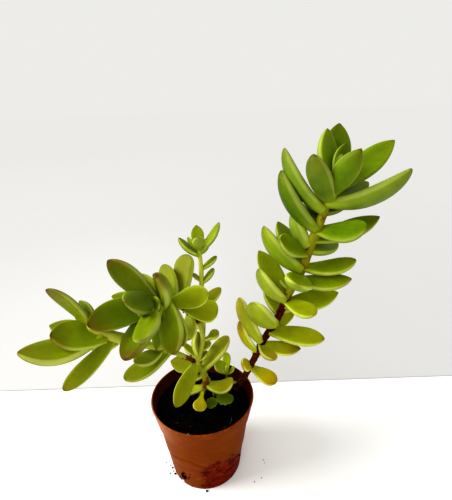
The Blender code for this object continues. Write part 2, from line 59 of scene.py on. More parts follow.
# The pot and the soil, with the sizes that their solids have.
RIM_RADIUS = 27.5
POT_HEIGHT = 47.5
BASE_RADIUS = 19.3
WALL = 1.0
FLOOR = 1.4
COLLAR_HEIGHT = 11.5
COLLAR_STEP = 0.6
COLLAR_LEAN = 0.21
RING_HEIGHT = 18.0
RING_STEP = 0.3
RING_SOFTNESS = 0.7
NOTCHES = 2
NOTCH_WIDTH = 2.6
NOTCH_HEIGHT = 2.6
NOTCH_ANGLE = math.radians(-131)
SOIL_TOP = 40.5
SOIL_BUMP = 1.0
SOIL_BUMP_SIZE = 7.0

# The soil's finer surface: sizes and heights of its lumps, crumbs and grit, and how far it sinks.
LUMP_SIZE = 1.9
LUMP_HEIGHT = 0.42
CRUMB_SIZE = 0.8
CRUMB_HEIGHT = 0.34
GRIT_SIZE = 0.38
GRIT_HEIGHT = 0.14
SOIL_SINK = 0.1

# The pot's rounded foot and the rounded corner inside, as (mm in from the wall, mm up), and the
# rings of its floor as shares of the floor's radius.
FOOT = ((0.45, 0.0), (0.2, 0.06))
CORNER = ((0.08, 0.35), (0.35, 0.06), (0.8, 0.0))
FLOOR_RINGS = (0.8, 0.5, 0.2)

# How finely the skins of the pot and the soil are made. Rings of the pot's wall are given as
# (lowest, highest, how many), and those of the soil's side as heights.
POT_SIDES = 224
SOIL_SIDES = 220
SOIL_ROWS = 84
WALL_RINGS = (
    (0.8, 17.2, 42), (17.4, 18.6, 9), (19.0, 35.2, 46), (35.35, 36.6, 10), (37.0, 46.6, 24))
RIM_STEPS = 12
SOIL_LEVELS = (39.4, 36.0, 30.0, RING_HEIGHT, FLOOR + 0.3)

# Gaps between the soil and the wall, at its top and below.
SOIL_GAP = 0.12
DEEP_GAP = 0.3

# The pot's small faults: how far it is out of round, the depth and width of its fold, and the
# height, width and place of the bulge under the fold.
WOBBLE = 0.10
FOLD_DEPTH = 0.26
FOLD_WIDTH = 0.75
BULGE_HEIGHT = 0.14
BULGE_WIDTH = 1.5
BULGE_BELOW = 1.8

# The viewpoint and tilt that the leaves' directions are read from, then the camera's own tilt
# and lens.
VIEWPOINT = Vector((15.33, -154.01, 190.29)) * MM
VIEW_PITCH = math.radians(21.4)
VIEW_ROLL = math.radians(2.0)
CAMERA_PITCH = math.radians(21.36)
CAMERA_ROLL = math.radians(-1.98)
LENS = 26.06

# The lamps: name, place in metres and power. Each faces the middle of the plant.
LAMPS = (
    ("window_left", (-1.35, -0.15, 1.05), 25.0),
    ("window_front", (-0.1, -1.2, 1.0), 4.5))
LAMP_SIZE = 1.0
PLANT_MIDDLE = Vector((0, 0, 0.09))

# How far apart the points of a stem, of a tiny stem and of a stem's skin are in mm, and how
# many points a strand has from each point of its route to the next.
STEM_SPACING = 4.0
FINE_SPACING = 2.0
SKIN_SPACING = 0.55
STRAND_POINTS = 6
STEM_SIDES = 36

# A stem's skin: its ridges and lumpy bark, the swelling under a leaf and how far it reaches, the
# raised ring round an old leaf scar, and where such scars begin, end and need bark.
RIDGE = 0.07
BARK_LUMPS = 0.10
SWELL = 0.42
SWELL_REACH = 3.2
SCAR_LIFT = 0.14
SCAR_REACH = 1.4
SCAR_HEIGHT = 0.75
SCAR_WIDTH = 1.1
SCAR_RING = 0.8
SCAR_EDGE = 0.5
FIRST_SCAR = 2.0
SCARLESS_TOP = 12
LEAST_BARK = 0.2

# A leaf's thickness as a share of its width, what is left of it at the root, where it is
# greatest, and how round its tip is in side view. A scalloped leaf is an even plate.
THICKNESS = 0.55
ROOT_THICKNESS = 0.62
THICKEST = 0.45
ROUND_TIP = 0.55
SCALLOP_DEPTH = 0.2
SCALLOPED_THICKNESS = 0.9

# How finely a leaf's skin is made.
ROOT_RINGS = 14
TIP_RINGS = 18
SCALLOPED_RINGS = 60
LEAF_SIDES = 30

# A leaf's cross-section: how round its margins are, the height and roundness of its upper face
# and of its keel as shares of the thickness, and how deep the channel above is.
MARGIN_ROUNDNESS = 0.9
UPPER_HEIGHT = 0.34
UPPER_ROUNDNESS = 0.8
CHANNEL = 0.5
KEEL_HEIGHT = 0.67
KEEL_ROUNDNESS = 1.08

# How much a leaf's sideways bend, its yellow and its darkness (partly darker green, partly painted
# shade) differ by chance.
BEND_LUCK = 0.04
RIPE_LUCK = 0.12
DEEP_LUCK = 0.1

# Crumbs: the rows and sides of each, and how many lie on the soil, and how many fibres.
CRUMB_ROWS = 6
CRUMB_SIDES = 9
PEAT_CRUMBS = 620
FIBRES = 9

# What is painted on the leaves and on the stems for their finishes.
LEAF_PAINT = (
    "leaf_along", "leaf_across", "leaf_upper", "leaf_ripe", "leaf_dark_and_shade", "leaf_blush",
    "leaf_chance", "leaf_length")
STEM_PAINT = ("stem_bark", "stem_scar", "stem_pale", "stem_along")

# The stage: name, colour, height of its top, then its low and high x and y, in metres.
STAGE = (
    ("sheet", (240, 239, 238), 0.0, (-1.6, 1.6, -2.2, 0.060)),
    # A thin grey strip where the sheet ends: a painted shadow line.
    ("edge_shadow_strip", (224, 223, 221), -0.0002, (-1.6, 1.6, 0.0601, 0.0612)),
    ("floor", (255, 255, 255), -0.0006, (-90.0, 90.0, -90.0, 90.0)))
STAGE_THICKNESS = 0.0005

# A leaf's outline: its width at the root as a share of the greatest, where along the leaf it is
# widest, how slender its neck is, how pointed its tip is, and how many scallops it has.
Form = namedtuple("Form", "root widest neck tip scallops", defaults=(0,))
ACUTE = Form(root=0.42, widest=0.58, neck=1.2, tip=0.82)
BLUNT = Form(root=0.40, widest=0.64, neck=1.3, tip=0.52)
CLUB = Form(root=0.34, widest=0.70, neck=1.6, tip=0.50)
FAN = Form(root=0.34, widest=0.76, neck=1.2, tip=0.48)
SPOON = Form(root=0.26, widest=0.72, neck=7.0, tip=0.50)
BROAD = Form(root=0.62, widest=0.56, neck=1.0, tip=0.66)
PLUMP = Form(root=0.46, widest=0.62, neck=1.2, tip=0.66)
SCALLOPED = Form(root=0.20, widest=0.50, neck=1.0, tip=0.50, scallops=4)

# A leaf: its place along the stem (mm above the soil or the fork), then its direction as the
# viewer sees it. clock is the angle in the view, anticlockwise from the right, and toward is
# how far it points at the viewer. Then length and width (mm), form, upward curl, and turn, which
# is how far the upper face is turned to the viewer. blush is how brown its tip has gone, and
# sway is how far (mm) its middle leans to its own left.
Leaf = namedtuple(
    "Leaf", "station clock toward length width form curl turn blush sway",
    defaults=(ACUTE, 15, 0, 0.15, 0.0))

# Stem routes, in mm: the first two points are the foot that stands in the soil.
TALL_ROUTE = (
    (17.6, 9.8, 34), (18.6, 10.2, 41), (22.4, 8.8, 48.5), (24.3, 7.8, 53.5), (26.6, 7.6, 58.4),
    (30.7, 8, 67.8), (32.2, 8, 72), (34.5, 8, 76.3), (39.3, 7.6, 85), (42.2, 6.4, 93), (44, 5, 100),
    (47, 3, 108.5), (51, 1, 119.3), (53.3, -1, 130), (55.5, -4, 140.4), (58.2, -6, 151),
    (60.4, -8, 158.5), (62, -9, 163))
TALL_THICK = (3.2, 3.4, 3.6, 3.8, 4.2, 4.2, 2.6)
MAIN_ROUTE = (
    (-2, 2, 34), (-1.7, 2.1, 41), (-0.6, 2.2, 46), (0.6, 2.7, 49), (1.6, 3.2, 51.8),
    (1.4, 4.2, 56.2), (-0.6, 4.5, 60.2), (-2, 4, 64.5), (-0.6, 4.4, 69), (0.8, 5.5, 74.5),
    (1.6, 6.5, 80), (0.6, 6.5, 86), (-2, 5, 92), (-5, 2, 98), (-8.5, -3, 104), (-12.5, -9, 108),
    (-16, -14, 110.5), (-18.5, -18, 112.5))
MAIN_THICK = (3.0, 3.8, 3.0, 2.8, 3.2, 3.4, 2.4)
FAR_ROUTE = (
    (-2, 4, 64.5), (-5.5, 2.5, 68.3), (-10.3, -1, 74.3), (-17, -8.4, 83.5), (-24.3, -17, 93),
    (-30.5, -24, 101), (-36.5, -28, 106.5), (-40.4, -29, 110))
FAR_THICK = (2.2, 2.6, 3.4, 5.0, 3.4)
THIN_ROUTE = (
    (1.6, 6.5, 80), (2.2, 7.5, 86), (2.4, 8, 94), (2.6, 8, 108), (2.8, 8, 120), (2.4, 8, 129))
THIN_THICK = (2.6, 2.2, 2.2, 2.2, 1.8)
OFFSET_ROUTE = ((13.6, 16.6, 35), (13.5, 16.8, 41), (13.3, 17, 47), (13.3, 17, 51))
OFFSET_THICK = (1.6, 1.6, 1.4)
SEEDLING_ROUTE = ((6.6, 0.6, 36), (6.5, 0.6, 41), (6.5, 0.9, 43), (6.6, 1.2, 44.5))
SEEDLING_THICK = (1.3, 1.2, 1.0)

TALL_LEAVES = (
    Leaf(19, -31, 20, 16.8, 9, CLUB, 0, 25, 0.3),
    Leaf(20.5, 184, 60, 8.4, 7.4, BLUNT, 20, 30, 0.1),
    Leaf(30, 123, 10, 18.5, 8.4, CLUB, 40, -50, 0.4),
    Leaf(36, 118.5, 0, 26.6, 11.6, BLUNT, 24, -60, 0.3),
    Leaf(35, -7, 5, 20.6, 8.8, ACUTE, 30, 25, 0.5),
    Leaf(34, -47, 50, 15, 8.4, BLUNT, 10),
    Leaf(41, 46, -25, 24, 8.2, BLUNT, 10),
    Leaf(44, -8, 10, 28, 11.6, PLUMP, 0, 25, 0.1, -0.8),
    Leaf(50, 140, 30, 17.5, 15.2, BLUNT, 45, -52, 0.0),
    Leaf(55, 112, -15, 18, 8.4, ACUTE, 10, 0, 0.4),
    Leaf(62.5, 12.5, -10, 28.6, 11.4, ACUTE, 42, 18, 0.1),
    Leaf(65, -24, 35, 18.6, 10.2, BLUNT, 15, 20, 0.1),
    Leaf(66, 132, 15, 20.5, 12.6, BLUNT, 30, -45, 0.1),
    Leaf(68, 122, -15, 29, 10.6, ACUTE, 20, 32),
    Leaf(72, 115, -55, 15, 7.5, ACUTE, 10),
    Leaf(82, -98, 72, 15, 13, BLUNT, 10, 0, 0.0),
    Leaf(79, 1, 5, 25, 10, ACUTE, 36, 16, 0.3),
    Leaf(85.5, 131.5, 10, 27, 14, ACUTE, 32, -40, 0.2),
    Leaf(86.5, 8, 0, 24, 9.4, PLUMP, 54, 14, 0.2),
    Leaf(88, 121, -20, 26.5, 11, ACUTE, 10),
    Leaf(94, 152, 50, 20, 10.2, BLUNT, 15, 30, 0.1),
    Leaf(96, 16, -50, 22.4, 9.4, ACUTE, 15),
    Leaf(98, 112, -5, 18.4, 13.4, BLUNT, 20, -54),
    Leaf(102, 19, -10, 30.8, 10.2, ACUTE, 32, 15, 0.3),
    Leaf(107, 3, 30, 22, 11, BLUNT, 30, 34, 0.0),
    Leaf(108, 121, 10, 29.6, 13.2, ACUTE, 34, -42),
    Leaf(110, 115, -45, 21, 5.6, ACUTE, 10),
    Leaf(115.5, 33, -45, 17, 7.6, ACUTE, 10),
    Leaf(117, 122.5, 0, 31.5, 11.8, PLUMP, 36, -38, 0.2),
    Leaf(121, 21.5, 5, 33, 12.2, ACUTE, 50, -46, 0.15),
    Leaf(122.5, 110, 40, 23, 11.4, BROAD, 20, -30, 0.3),
    Leaf(124, 19, -45, 23.6, 9.4, ACUTE, 10),
    Leaf(124.5, 58, 40, 24.5, 9.4, ACUTE, 30, -20, 0.3),
    Leaf(127, 39.5, -5, 28.8, 10.4, ACUTE, 42, 32, 0.15),
    Leaf(127.5, 87.5, -20, 28.5, 12.4, ACUTE, 15, 20, 0.1),
    Leaf(126.5, 97, -4, 25, 10.8, ACUTE, 15, 0, 0.1),
    Leaf(130, 79, -10, 16, 8, ACUTE, 15, 0, 0.2),
    Leaf(131, 84, 25, 11, 6, ACUTE, 10, 0, 0.2),
    Leaf(131, 62, 10, 10, 5, ACUTE, 10, 0, 0.0),
    Leaf(27, 60, -70, 14, 7, BLUNT, 20),
    Leaf(48, 60, -74, 18, 8.0, BLUNT, 20),
    Leaf(59, 40, -68, 19, 8.2, ACUTE, 20),
    Leaf(77, 20, -66, 20, 8.6, ACUTE, 20),
    Leaf(91, 130, -72, 20, 8.8, ACUTE, 20),
    Leaf(104, 40, -70, 21, 8.8, ACUTE, 20),
    Leaf(119, 100, -66, 22, 9, ACUTE, 20),
    Leaf(126, 60, -62, 22, 9.4, ACUTE, 15),
)

MAIN_LEAVES = (
    Leaf(7.5, 258, 46, 15.4, 7.2, SPOON, 15, 10, 0.0),
    Leaf(9, 192, 0, 15, 7.4, BLUNT, 0),
    Leaf(11, 5, 15, 15.5, 9.2, CLUB, 70, 20, 0.0, -1.6),
    Leaf(11.5, 1, -28, 20.4, 5, BLUNT, 10),
    Leaf(18, -62, -40, 12, 4.6, BLUNT, 0),
    Leaf(16, 200, -15, 8, 4.2, BLUNT, 0),
    Leaf(20.5, 166, -15, 17.6, 10.2, ACUTE, 10, 20),
    Leaf(19.5, 50, 10, 23, 11, BLUNT, 0, 10, 0.1),
    Leaf(25.5, 243.5, 20, 25.2, 8.8, PLUMP, -5, 20, 0.2),
    Leaf(26, 45, 20, 7.5, 4.5, BLUNT, 10),
    Leaf(28, 137, -10, 11.5, 5.5, BLUNT, 10),
    Leaf(29, 95, 25, 14, 8.4, ACUTE, 15, 0, 0.0),
    Leaf(32, 48, -30, 8.5, 5, BLUNT, 10),
    Leaf(38, 30, 0, 10, 6.4, SPOON, 10, 20, 0.0),
    Leaf(54, 34, -30, 15, 6, BLUNT, 10),
    Leaf(57, 42, -10, 20.6, 8, BLUNT, 10),
    Leaf(59, 268, 25, 14.5, 8.2, BLUNT, 15),
    Leaf(65, -8, 20, 17.6, 11.2, FAN, 10, 0, 0.0),
    Leaf(69, 83, -10, 26, 11.4, FAN, 10, 0, 0.0),
    Leaf(76, 16, 30, 20, 10.4, BLUNT, 20, 0, 0.0),
    Leaf(72, 108, -20, 22, 9.6, BLUNT, 10, 0, 0.2),
    Leaf(75, 286, 15, 20, 8.8, BLUNT, 15),
    Leaf(81.5, 104, 48, 18.6, 12.4, BROAD, 30, -20, 0.6),
    Leaf(80, 282, 35, 25, 13.2, BROAD, 20, 0, 0.4),
    Leaf(82, 124, -20, 18.6, 8, ACUTE, 10),
    Leaf(82, 265, 0, 20, 8, ACUTE, 15),
    Leaf(84.5, 137.6, 15, 29, 12.2, PLUMP, 10, 0, 0.6),
    Leaf(85, 239.5, 30, 27.8, 13.6, BROAD, 15, 0, 0.9, -1.2),
    Leaf(86, 167, -25, 22, 8, ACUTE, 10),
    Leaf(87, 173, 58, 21, 11.4, BLUNT, 15, 0, 0.1),
    Leaf(88, 196, 20, 27.4, 12.8, BROAD, 15, 0, 0.7, -1.2),
    Leaf(89, 256, 55, 22.6, 12, BLUNT, 15, 20, 0.1),
    Leaf(90, 200, 62, 9.5, 6.6, BLUNT, 10, 0, 0.0),
    Leaf(90, 20, 62, 9, 6.4, BLUNT, 10, 0, 0.0),
    Leaf(90, 110, 72, 8, 6, ACUTE, 10, 0, 0.0),
    Leaf(90, 290, 72, 8, 5.6, ACUTE, 10, 0, 0.0),
    Leaf(36, 110, -66, 12, 6, BLUNT, 20),
    Leaf(47, 150, -62, 14, 6.6, BLUNT, 20),
    Leaf(62, 60, -60, 18, 8, BLUNT, 20),
    Leaf(74, 60, -62, 20, 8.6, BLUNT, 20),
    Leaf(83, 300, -50, 18, 8, ACUTE, 20),
)

FAR_LEAVES = (
    Leaf(22, 211, 10, 24.4, 10.4, BLUNT, 10, 0, 0.2),
    Leaf(27.5, 207, 30, 15.6, 9.4, BLUNT, 15, 0, 0.1),
    Leaf(54, 196, -35, 17, 7, ACUTE, 10),
    Leaf(57, 226, 0, 27.6, 7.8, BLUNT, 18, 34, 0.2),
    Leaf(62, 179.5, 25, 21.6, 13.2, BROAD, 15, 58, 0.6),
    Leaf(64, 192, 14, 30, 13.4, ACUTE, 44, 34, 0.2),
    Leaf(66, 172, -15, 19, 8.8, ACUTE, 10),
    Leaf(67, 118, -20, 14.5, 7, ACUTE, 10),
    Leaf(68, 131, -20, 12, 6, ACUTE, 10),
    Leaf(69, 138, 10, 22.6, 7.4, BLUNT, 30, 16, 0.6),
    Leaf(40, 150, -55, 15, 7, ACUTE, 20),
    Leaf(68.5, 230, -62, 12, 6, ACUTE, 20),
)

THIN_LEAVES = (
    Leaf(30, 50, 10, 9.5, 5, BLUNT, 10),
    Leaf(31, 139, -10, 6, 3.2, BLUNT, 10),
    Leaf(37.5, 40, 0, 10, 4.6, BLUNT, 10),
    Leaf(45, 141, 10, 13.2, 6.4, ACUTE, 22, 0, 0.3),
    Leaf(47, 56, 5, 16.8, 6.2, ACUTE, 20),
    Leaf(48, 132, 30, 9, 5, ACUTE, 10),
    Leaf(48.5, 97, -10, 11.5, 6.4, ACUTE, 10),
    Leaf(48.5, 93, 60, 10, 6.2, BLUNT, 10),
    Leaf(46, 60, -55, 11, 5.4, ACUTE, 15),
)

OFFSET_LEAVES = (
    Leaf(6.5, 143, 10, 8.6, 7.4, BROAD, 10, 20),
    Leaf(6.5, 90, -10, 10.8, 5, BLUNT, 10),
    Leaf(4.6, 44, 20, 6.2, 3.8, BLUNT, 40),
    Leaf(4.6, 138, 40, 4.6, 3.4, BLUNT, 20),
)

SEEDLING_LEAVES = (
    Leaf(2.6, 234, 40, 8.2, 6.8, SCALLOPED, 10, 10, 0.0),
    Leaf(2.2, -4, 15, 10.5, 7.8, SCALLOPED, 10, 25, 0.0),
    Leaf(3, 70, -50, 5.5, 4.4, SCALLOPED, 10, 0, 0.0),
)

# A shoot: its stem and leaves, then (mm along the stem, amount) stops for how yellow and how
# dark its leaves are (partly a darker green, partly painted shade), where the stem is bark,
# and how pale its green is.
Shoot = namedtuple("Shoot", "stem leaves ripeness depth bark pale")

TALL_RIPENESS = (
    (19, 1.0), (30, 0.9), (36, 0.75), (41, 0.5), (44, 0.35), (50, 0.35), (65, 0.25), (85, 0.1),
    (105, 0.0))
TALL_DEPTH = (
    (60, 0.1), (75, 0.25), (93, 0.4), (94, 0.15), (96, 0.1), (97, 0.45), (102, 0.5), (106, 0.85),
    (107, 0.45), (107.6, 0.85), (112, 0.85), (119, 0.75), (121.8, 0.5), (122.3, 0.9), (122.8, 0.9),
    (123.4, 0.5), (126.2, 0.5), (126.5, 0.15), (126.8, 0.4), (127.2, 0.6), (127.5, 0.95),
    (128, 0.7), (130, 0.65))
TALL_BARK = (
    (0, 1.0), (60, 1.0), (66, 0.75), (72, 0.32), (85, 0.3), (87.5, 0.5), (90, 0.3), (94, 0.5),
    (98, 0.42), (101, 0.3), (112, 0.3), (114.5, 0.52), (117, 0.3), (121, 0.15))
MAIN_RIPENESS = (
    (7, 0.82), (10, 0.8), (11, 0.55), (12, 0.6), (20, 0.4), (40, 0.45), (60, 0.35), (80, 0.2),
    (90, 0.05))
MAIN_DEPTH = (
    (7, 0.2), (12, 0.5), (20, 0.35), (20.5, 0.8), (21, 0.4), (25.5, 0.45), (30, 0.1), (60, 0.1),
    (64, 0.2), (65, 0.0), (69, 1.0), (72, 0.45), (76, 0.25), (80, 0.0), (81, 0.2), (84, 0.7),
    (84.5, 1.0), (85, 0.4), (86.5, 0.6), (87, 0.95), (87.5, 0.9), (88, 0.6), (89, 0.35), (90, 0.3))
MAIN_BARK = (
    (0, 0.45), (8, 0.35), (12, 0.6), (14, 0.6), (18, 0.05), (30, 0.0), (48, 0.1), (52, 0.9),
    (64, 0.9), (70, 0.3))
FAR_RIPENESS = ((20, 0.15), (57, 0.25), (62, 0.15), (64, 0.2), (70, 0.2))
FAR_DEPTH = (
    (20, 0.75), (27, 0.6), (50, 0.5), (57, 0.7), (62, 0.05), (64, 0.55), (69, 0.75), (70, 0.6))
FAR_BARK = ((0, 0.2), (3, 0.7), (9, 0.6), (14, 0.0), (30, 0.0))
THIN_RIPENESS = ((30, 0.2), (50, 0.15))
THIN_DEPTH = ((30, 0.0), (50, 0.1))
THIN_BARK = ((0, 0.1), (50, 0.0))
TALL_PALE = ((0, 0.0), (60, 0.1), (80, 0.0), (130, 0.15))
MAIN_PALE = ((0, 0.1), (16, 0.3), (26, 0.7), (50, 0.6), (90, 0.3))
FAR_PALE = ((0, 0.6), (30, 0.9), (70, 1.0))
THIN_PALE = ((0, 0.9), (20, 1.0), (50, 0.9))
OFFSET_RIPENESS = ((0, 0.35), (9, 0.35))
OFFSET_DEPTH = ((0, 0.1), (9, 0.1))
OFFSET_BARK = ((0, 0.2), (9, 0.1))
SEEDLING_RIPENESS = ((0, 0.1), (9, 0.1))
SEEDLING_DEPTH = ((0, 0.3), (9, 0.3))
SEEDLING_BARK = ((0, 1.0), (5, 0.9))
SPROUT_PALE = ((0, 0.8), (9, 0.8))


def between(stops, place):
    """The value at a place along a list of (place, value) stops."""
    return float(np.interp(place, [stop[0] for stop in stops], [stop[1] for stop in stops]))


def linear(red, green, blue):
    """A colour given in 0-255 screen values."""
    levels = [level / 255 for level in (red, green, blue)]
    return tuple(
        level / 12.92 if level <= 0.04045 else ((level + 0.055) / 1.055) ** 2.4 for level in levels)


def limit(value, low, high):
    """A value kept between two others."""
    return min(max(value, low), high)


def round_angles(sides):
    """Even angles round a full turn."""
    return [2 * math.pi * k / sides for k in range(sides)]


def random_spot(chance, radius):
    """A random place inside a circle round the pot's axis, as x and y in mm."""
    angle = chance.uniform(0, 2 * math.pi)
    reach = radius * math.sqrt(chance.uniform(0, 1))
    return reach * math.cos(angle), reach * math.sin(angle)


def placed(name, data):
    """A new object in the scene."""
    item = bpy.data.objects.new(name, data)
    bpy.context.scene.collection.objects.link(item)
    return item


def to_mesh(bm, name):
    """The mesh of what was built face by face."""
    mesh = bpy.data.meshes.new(name)
    bm.to_mesh(mesh)
    bm.free()
    return mesh


def paint_mesh(mesh, painted):
    """Store painted values, one for each point, on a mesh."""
    for key, values in painted.items():
        mesh.attributes.new(key, "FLOAT", "POINT").data.foreach_set("value", values)


class Stem:
    """A stem's smooth route, its thickness, and places along it."""

    def __init__(self, route, thick, planted=True, spacing=STEM_SPACING):
        self.route = route
        self.thick = thick
        self.planted = planted
        self.foot = (Vector(route[1]) - Vector(route[0])).length if planted else 0.0
        self.points = smooth_route(route, spacing)
        self.lengths = [0.0]
        for start, end in zip(self.points, self.points[1:]):
            self.lengths.append(self.lengths[-1] + (end - start).length)

    def for_skin(self):
        """The same stem with points close enough for its skin."""
        return Stem(self.route, self.thick, self.planted, SKIN_SPACING)

    def at(self, station):
        """The point and the direction at a distance from the soil or the fork, in mm."""
        reach = limit(station + self.foot, 0.0, self.lengths[-1])
        for number in range(1, len(self.points)):
            if self.lengths[number] >= reach:
                break
        start = self.points[number - 1]
        end = self.points[number]
        share = (reach - self.lengths[number - 1]) / (end - start).length
        return start.lerp(end, share), (end - start).normalized()

    def radius(self, number):
        """The stem's radius in mm at one of its points."""
        place = self.lengths[number] / self.lengths[-1] * (len(self.thick) - 1)
        low = min(int(place), len(self.thick) - 2)
        share = place - low
        return (self.thick[low] * (1 - share) + self.thick[low + 1] * share) / 2


def smooth_point(before, start, end, after, share):
    """A point of the smooth curve through four points, between the middle two."""
    first = 0.5 * (end - before)
    last = 0.5 * (after - start)
    return (start * (2 * share ** 3 - 3 * share ** 2 + 1)
            + first * (share ** 3 - 2 * share ** 2 + share)
            + end * (3 * share ** 2 - 2 * share ** 3)
            + last * (share ** 3 - share ** 2))


def smooth_route(route, spacing=None):
    """Points on the smooth curve through a route: about a spacing apart, or a strand's number."""
    points = [Vector(point) for point in route]
    ends = [2 * points[0] - points[1], *points, 2 * points[-1] - points[-2]]
    line = [points[0]]
    for before, start, end, after in zip(ends, ends[1:], ends[2:], ends[3:]):
        pieces = STRAND_POINTS
        if spacing:
            pieces = max(1, round((end - start).length / spacing))
        for piece in range(1, pieces + 1):
            line.append(smooth_point(before, start, end, after, piece / pieces))
    return line


def view_axes(place):
    """The view's right, up and depth directions for someone looking at a place."""
    right = Vector((1, 0, 0))
    depth = Vector((0, math.cos(VIEW_PITCH), -math.sin(VIEW_PITCH)))
    up = right.cross(depth)
    look = (place - VIEWPOINT).normalized()
    turn = depth.rotation_difference(look)
    roll = Matrix.Rotation(VIEW_ROLL, 3, look)
    return roll @ (turn @ right), roll @ (turn @ up), look


def leaf_axes(leaf, place, stem_direction):
    """The leaf's own directions: along it, across it and out of its upper face."""
    right, up, look = view_axes(place)
    clock = math.radians(leaf.clock)
    toward = math.radians(leaf.toward)
    flat = right * math.cos(clock) + up * math.sin(clock)
    along = flat * math.cos(toward) - look * math.sin(toward)
    face = (stem_direction - along * stem_direction.dot(along)).normalized()
    side = 1 if along.dot(face.cross(-look)) > 0 else -1
    face = Matrix.Rotation(side * math.radians(leaf.turn), 3, along) @ face
    return along, face.cross(along), face


def half_width(form, share):
    """The leaf's half width at a share of its length, as a part of its greatest."""
    if share < form.widest:
        rise = math.sin(math.pi / 2 * share / form.widest) ** form.neck
        width = form.root + (1 - form.root) * rise
    else:
        fall = (share - form.widest) / (1 - form.widest)
        width = (1 - fall ** 2) ** form.tip
    if form.scallops:
        width *= 1 - SCALLOP_DEPTH * (1 - abs(math.sin(math.pi * form.scallops * share)))
    return width


def leaf_thickness(leaf, share):
    """The leaf's thickness in mm at a share of its length."""
    if leaf.form.scallops:
        return SCALLOPED_THICKNESS
    if share < THICKEST:
        rise = math.sin(math.pi / 2 * share / THICKEST)
        part = ROOT_THICKNESS + (1 - ROOT_THICKNESS) * rise
    else:
        part = (1 - ((share - THICKEST) / (1 - THICKEST)) ** 2) ** ROUND_TIP
    return leaf.width * THICKNESS * part


def arc_place(along, face, length, curl, share):
    """A place on the leaf's midline, a flat arc over its chord, and the upward direction."""
    if abs(curl) < 0.01:
        return along * length * share, face
    radius = length / (2 * math.sin(curl / 2))
    angle = curl * (share - 0.5)
    forward = radius * (math.sin(angle) + math.sin(curl / 2))
    sag = radius * (math.cos(curl / 2) - math.cos(angle))
    out = face * math.cos(angle) - along * math.sin(angle)
    return along * forward + face * sag, out


class Skin:
    """Points, faces and painted values that are gathered into one mesh."""

    def __init__(self, *painted):
        self.points = []
        self.faces = []
        self.paint = {name: [] for name in painted}

    def tube(self, rings, values=None, tip=None, tip_values=None):
        """Add a closed tube of rings, each painted with one value or with one for each point."""
        first = len(self.points)
        sides = len(rings[0])
        for number, ring in enumerate(rings):
            self.points.extend(ring)
            for name, painted in self.paint.items():
                value = values[number][name]
                painted.extend(value if isinstance(value, list) else [value] * sides)
        for row in range(len(rings) - 1):
            low = first + row * sides
            for k in range(sides):
                after = (k + 1) % sides
                self.faces.append((low + k, low + after, low + sides + after, low + sides + k))
        self.faces.append(tuple(first + k for k in reversed(range(sides))))
        last = first + (len(rings) - 1) * sides
        if tip is None:
            self.faces.append(tuple(last + k for k in range(sides)))
            return
        self.points.append(tip)
        for name, painted in self.paint.items():
            painted.append(tip_values[name])
        for k in range(sides):
            self.faces.append((last + k, last + (k + 1) % sides, last + sides))

    def mesh(self, name):
        """The mesh of what was gathered."""
        mesh = bpy.data.meshes.new(name)
        mesh.from_pydata([tuple(point) for point in self.points], [], self.faces)
        paint_mesh(mesh, self.paint)
        return mesh

    def make(self, name, finish, replaced=None, sharp_angle=60.0):
        """Turn what was gathered into a piece that rides on the object."""
        make_piece(name, self.mesh(name), finish, replaced, sharp_angle)


def make_piece(name, mesh, finish, replaced, sharp_angle):
    """Give a mesh its finish and set it into the frame."""
    mesh.shade_smooth()
    mesh.set_sharp_from_angle(angle=math.radians(sharp_angle))
    mesh.materials.clear()
    mesh.materials.append(finish)
    piece = placed(name, mesh)
    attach(piece, "root")
    if replaced:
        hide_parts(replaced)


def leaf_shares(form):
    """Where a leaf's rings lie along it, closer together towards its tip."""
    if form.scallops:
        return [ring / SCALLOPED_RINGS for ring in range(SCALLOPED_RINGS)]
    low = [form.widest * ring / ROOT_RINGS for ring in range(ROOT_RINGS)]
    high = [
        form.widest + (1 - form.widest) * math.sin(math.pi / 2 * ring / TIP_RINGS)
        for ring in range(TIP_RINGS)]
    return low + high


def leaf_section():
    """Points round a leaf: shares across it and out of it, and how much they face upward."""
    section = []
    for angle in round_angles(LEAF_SIDES):
        cosine, sine = math.cos(angle), math.sin(angle)
        x = math.copysign(abs(cosine) ** MARGIN_ROUNDNESS, cosine)
        if sine >= 0:
            z = UPPER_HEIGHT * sine ** UPPER_ROUNDNESS * (1 - CHANNEL * (1 - x * x))
        else:
            z = -KEEL_HEIGHT * (-sine) ** KEEL_ROUNDNESS
        section.append((x, z, 0.5 + 0.5 * math.copysign(min(1.0, abs(sine) * 3), sine)))
    return section


def grow_leaf(skin, stem, leaf, ripe, deep, luck):
    """Add one fleshy leaf, with a shallow channel above, a blunt keel below and round margins."""
    place, stem_direction = stem.at(leaf.station)
    along, across, face = leaf_axes(leaf, place * MM, stem_direction)
    curl = math.radians(leaf.curl)
    section = leaf_section()
    same = {
        "leaf_ripe": ripe, "leaf_dark_and_shade": deep, "leaf_blush": leaf.blush, "leaf_chance": luck,
        "leaf_length": leaf.length * MM}
    bend = leaf.sway + (luck - 0.5) * BEND_LUCK * leaf.length
    rings = []
    values = []
    for share in leaf_shares(leaf.form):
        middle, out = arc_place(along, face, leaf.length, curl, share)
        middle = middle + across * bend * math.sin(math.pi * share)
        half = leaf.width / 2 * half_width(leaf.form, share)
        depth = leaf_thickness(leaf, share)
        rings.append([
            (place + middle + across * half * x + out * depth * z) * MM for x, z, _ in section])
        values.append({
            "leaf_along": share, "leaf_across": [x for x, _, _ in section],
            "leaf_upper": [upper for _, _, upper in section], **same})
    tip, _ = arc_place(along, face, leaf.length, curl, 1.0)
    skin.tube(rings, values, (place + tip) * MM, {
        "leaf_along": 1.0, "leaf_across": 0.0, "leaf_upper": 0.5, **same})


def leaf_roots(shoot):
    """Where a shoot's leaves stand on its stem, and which way each of them points."""
    roots = []
    for leaf in shoot.leaves:
        place, direction = shoot.stem.at(leaf.station)
        along, _, _ = leaf_axes(leaf, place * MM, direction)
        roots.append((leaf.station, along))
    return roots


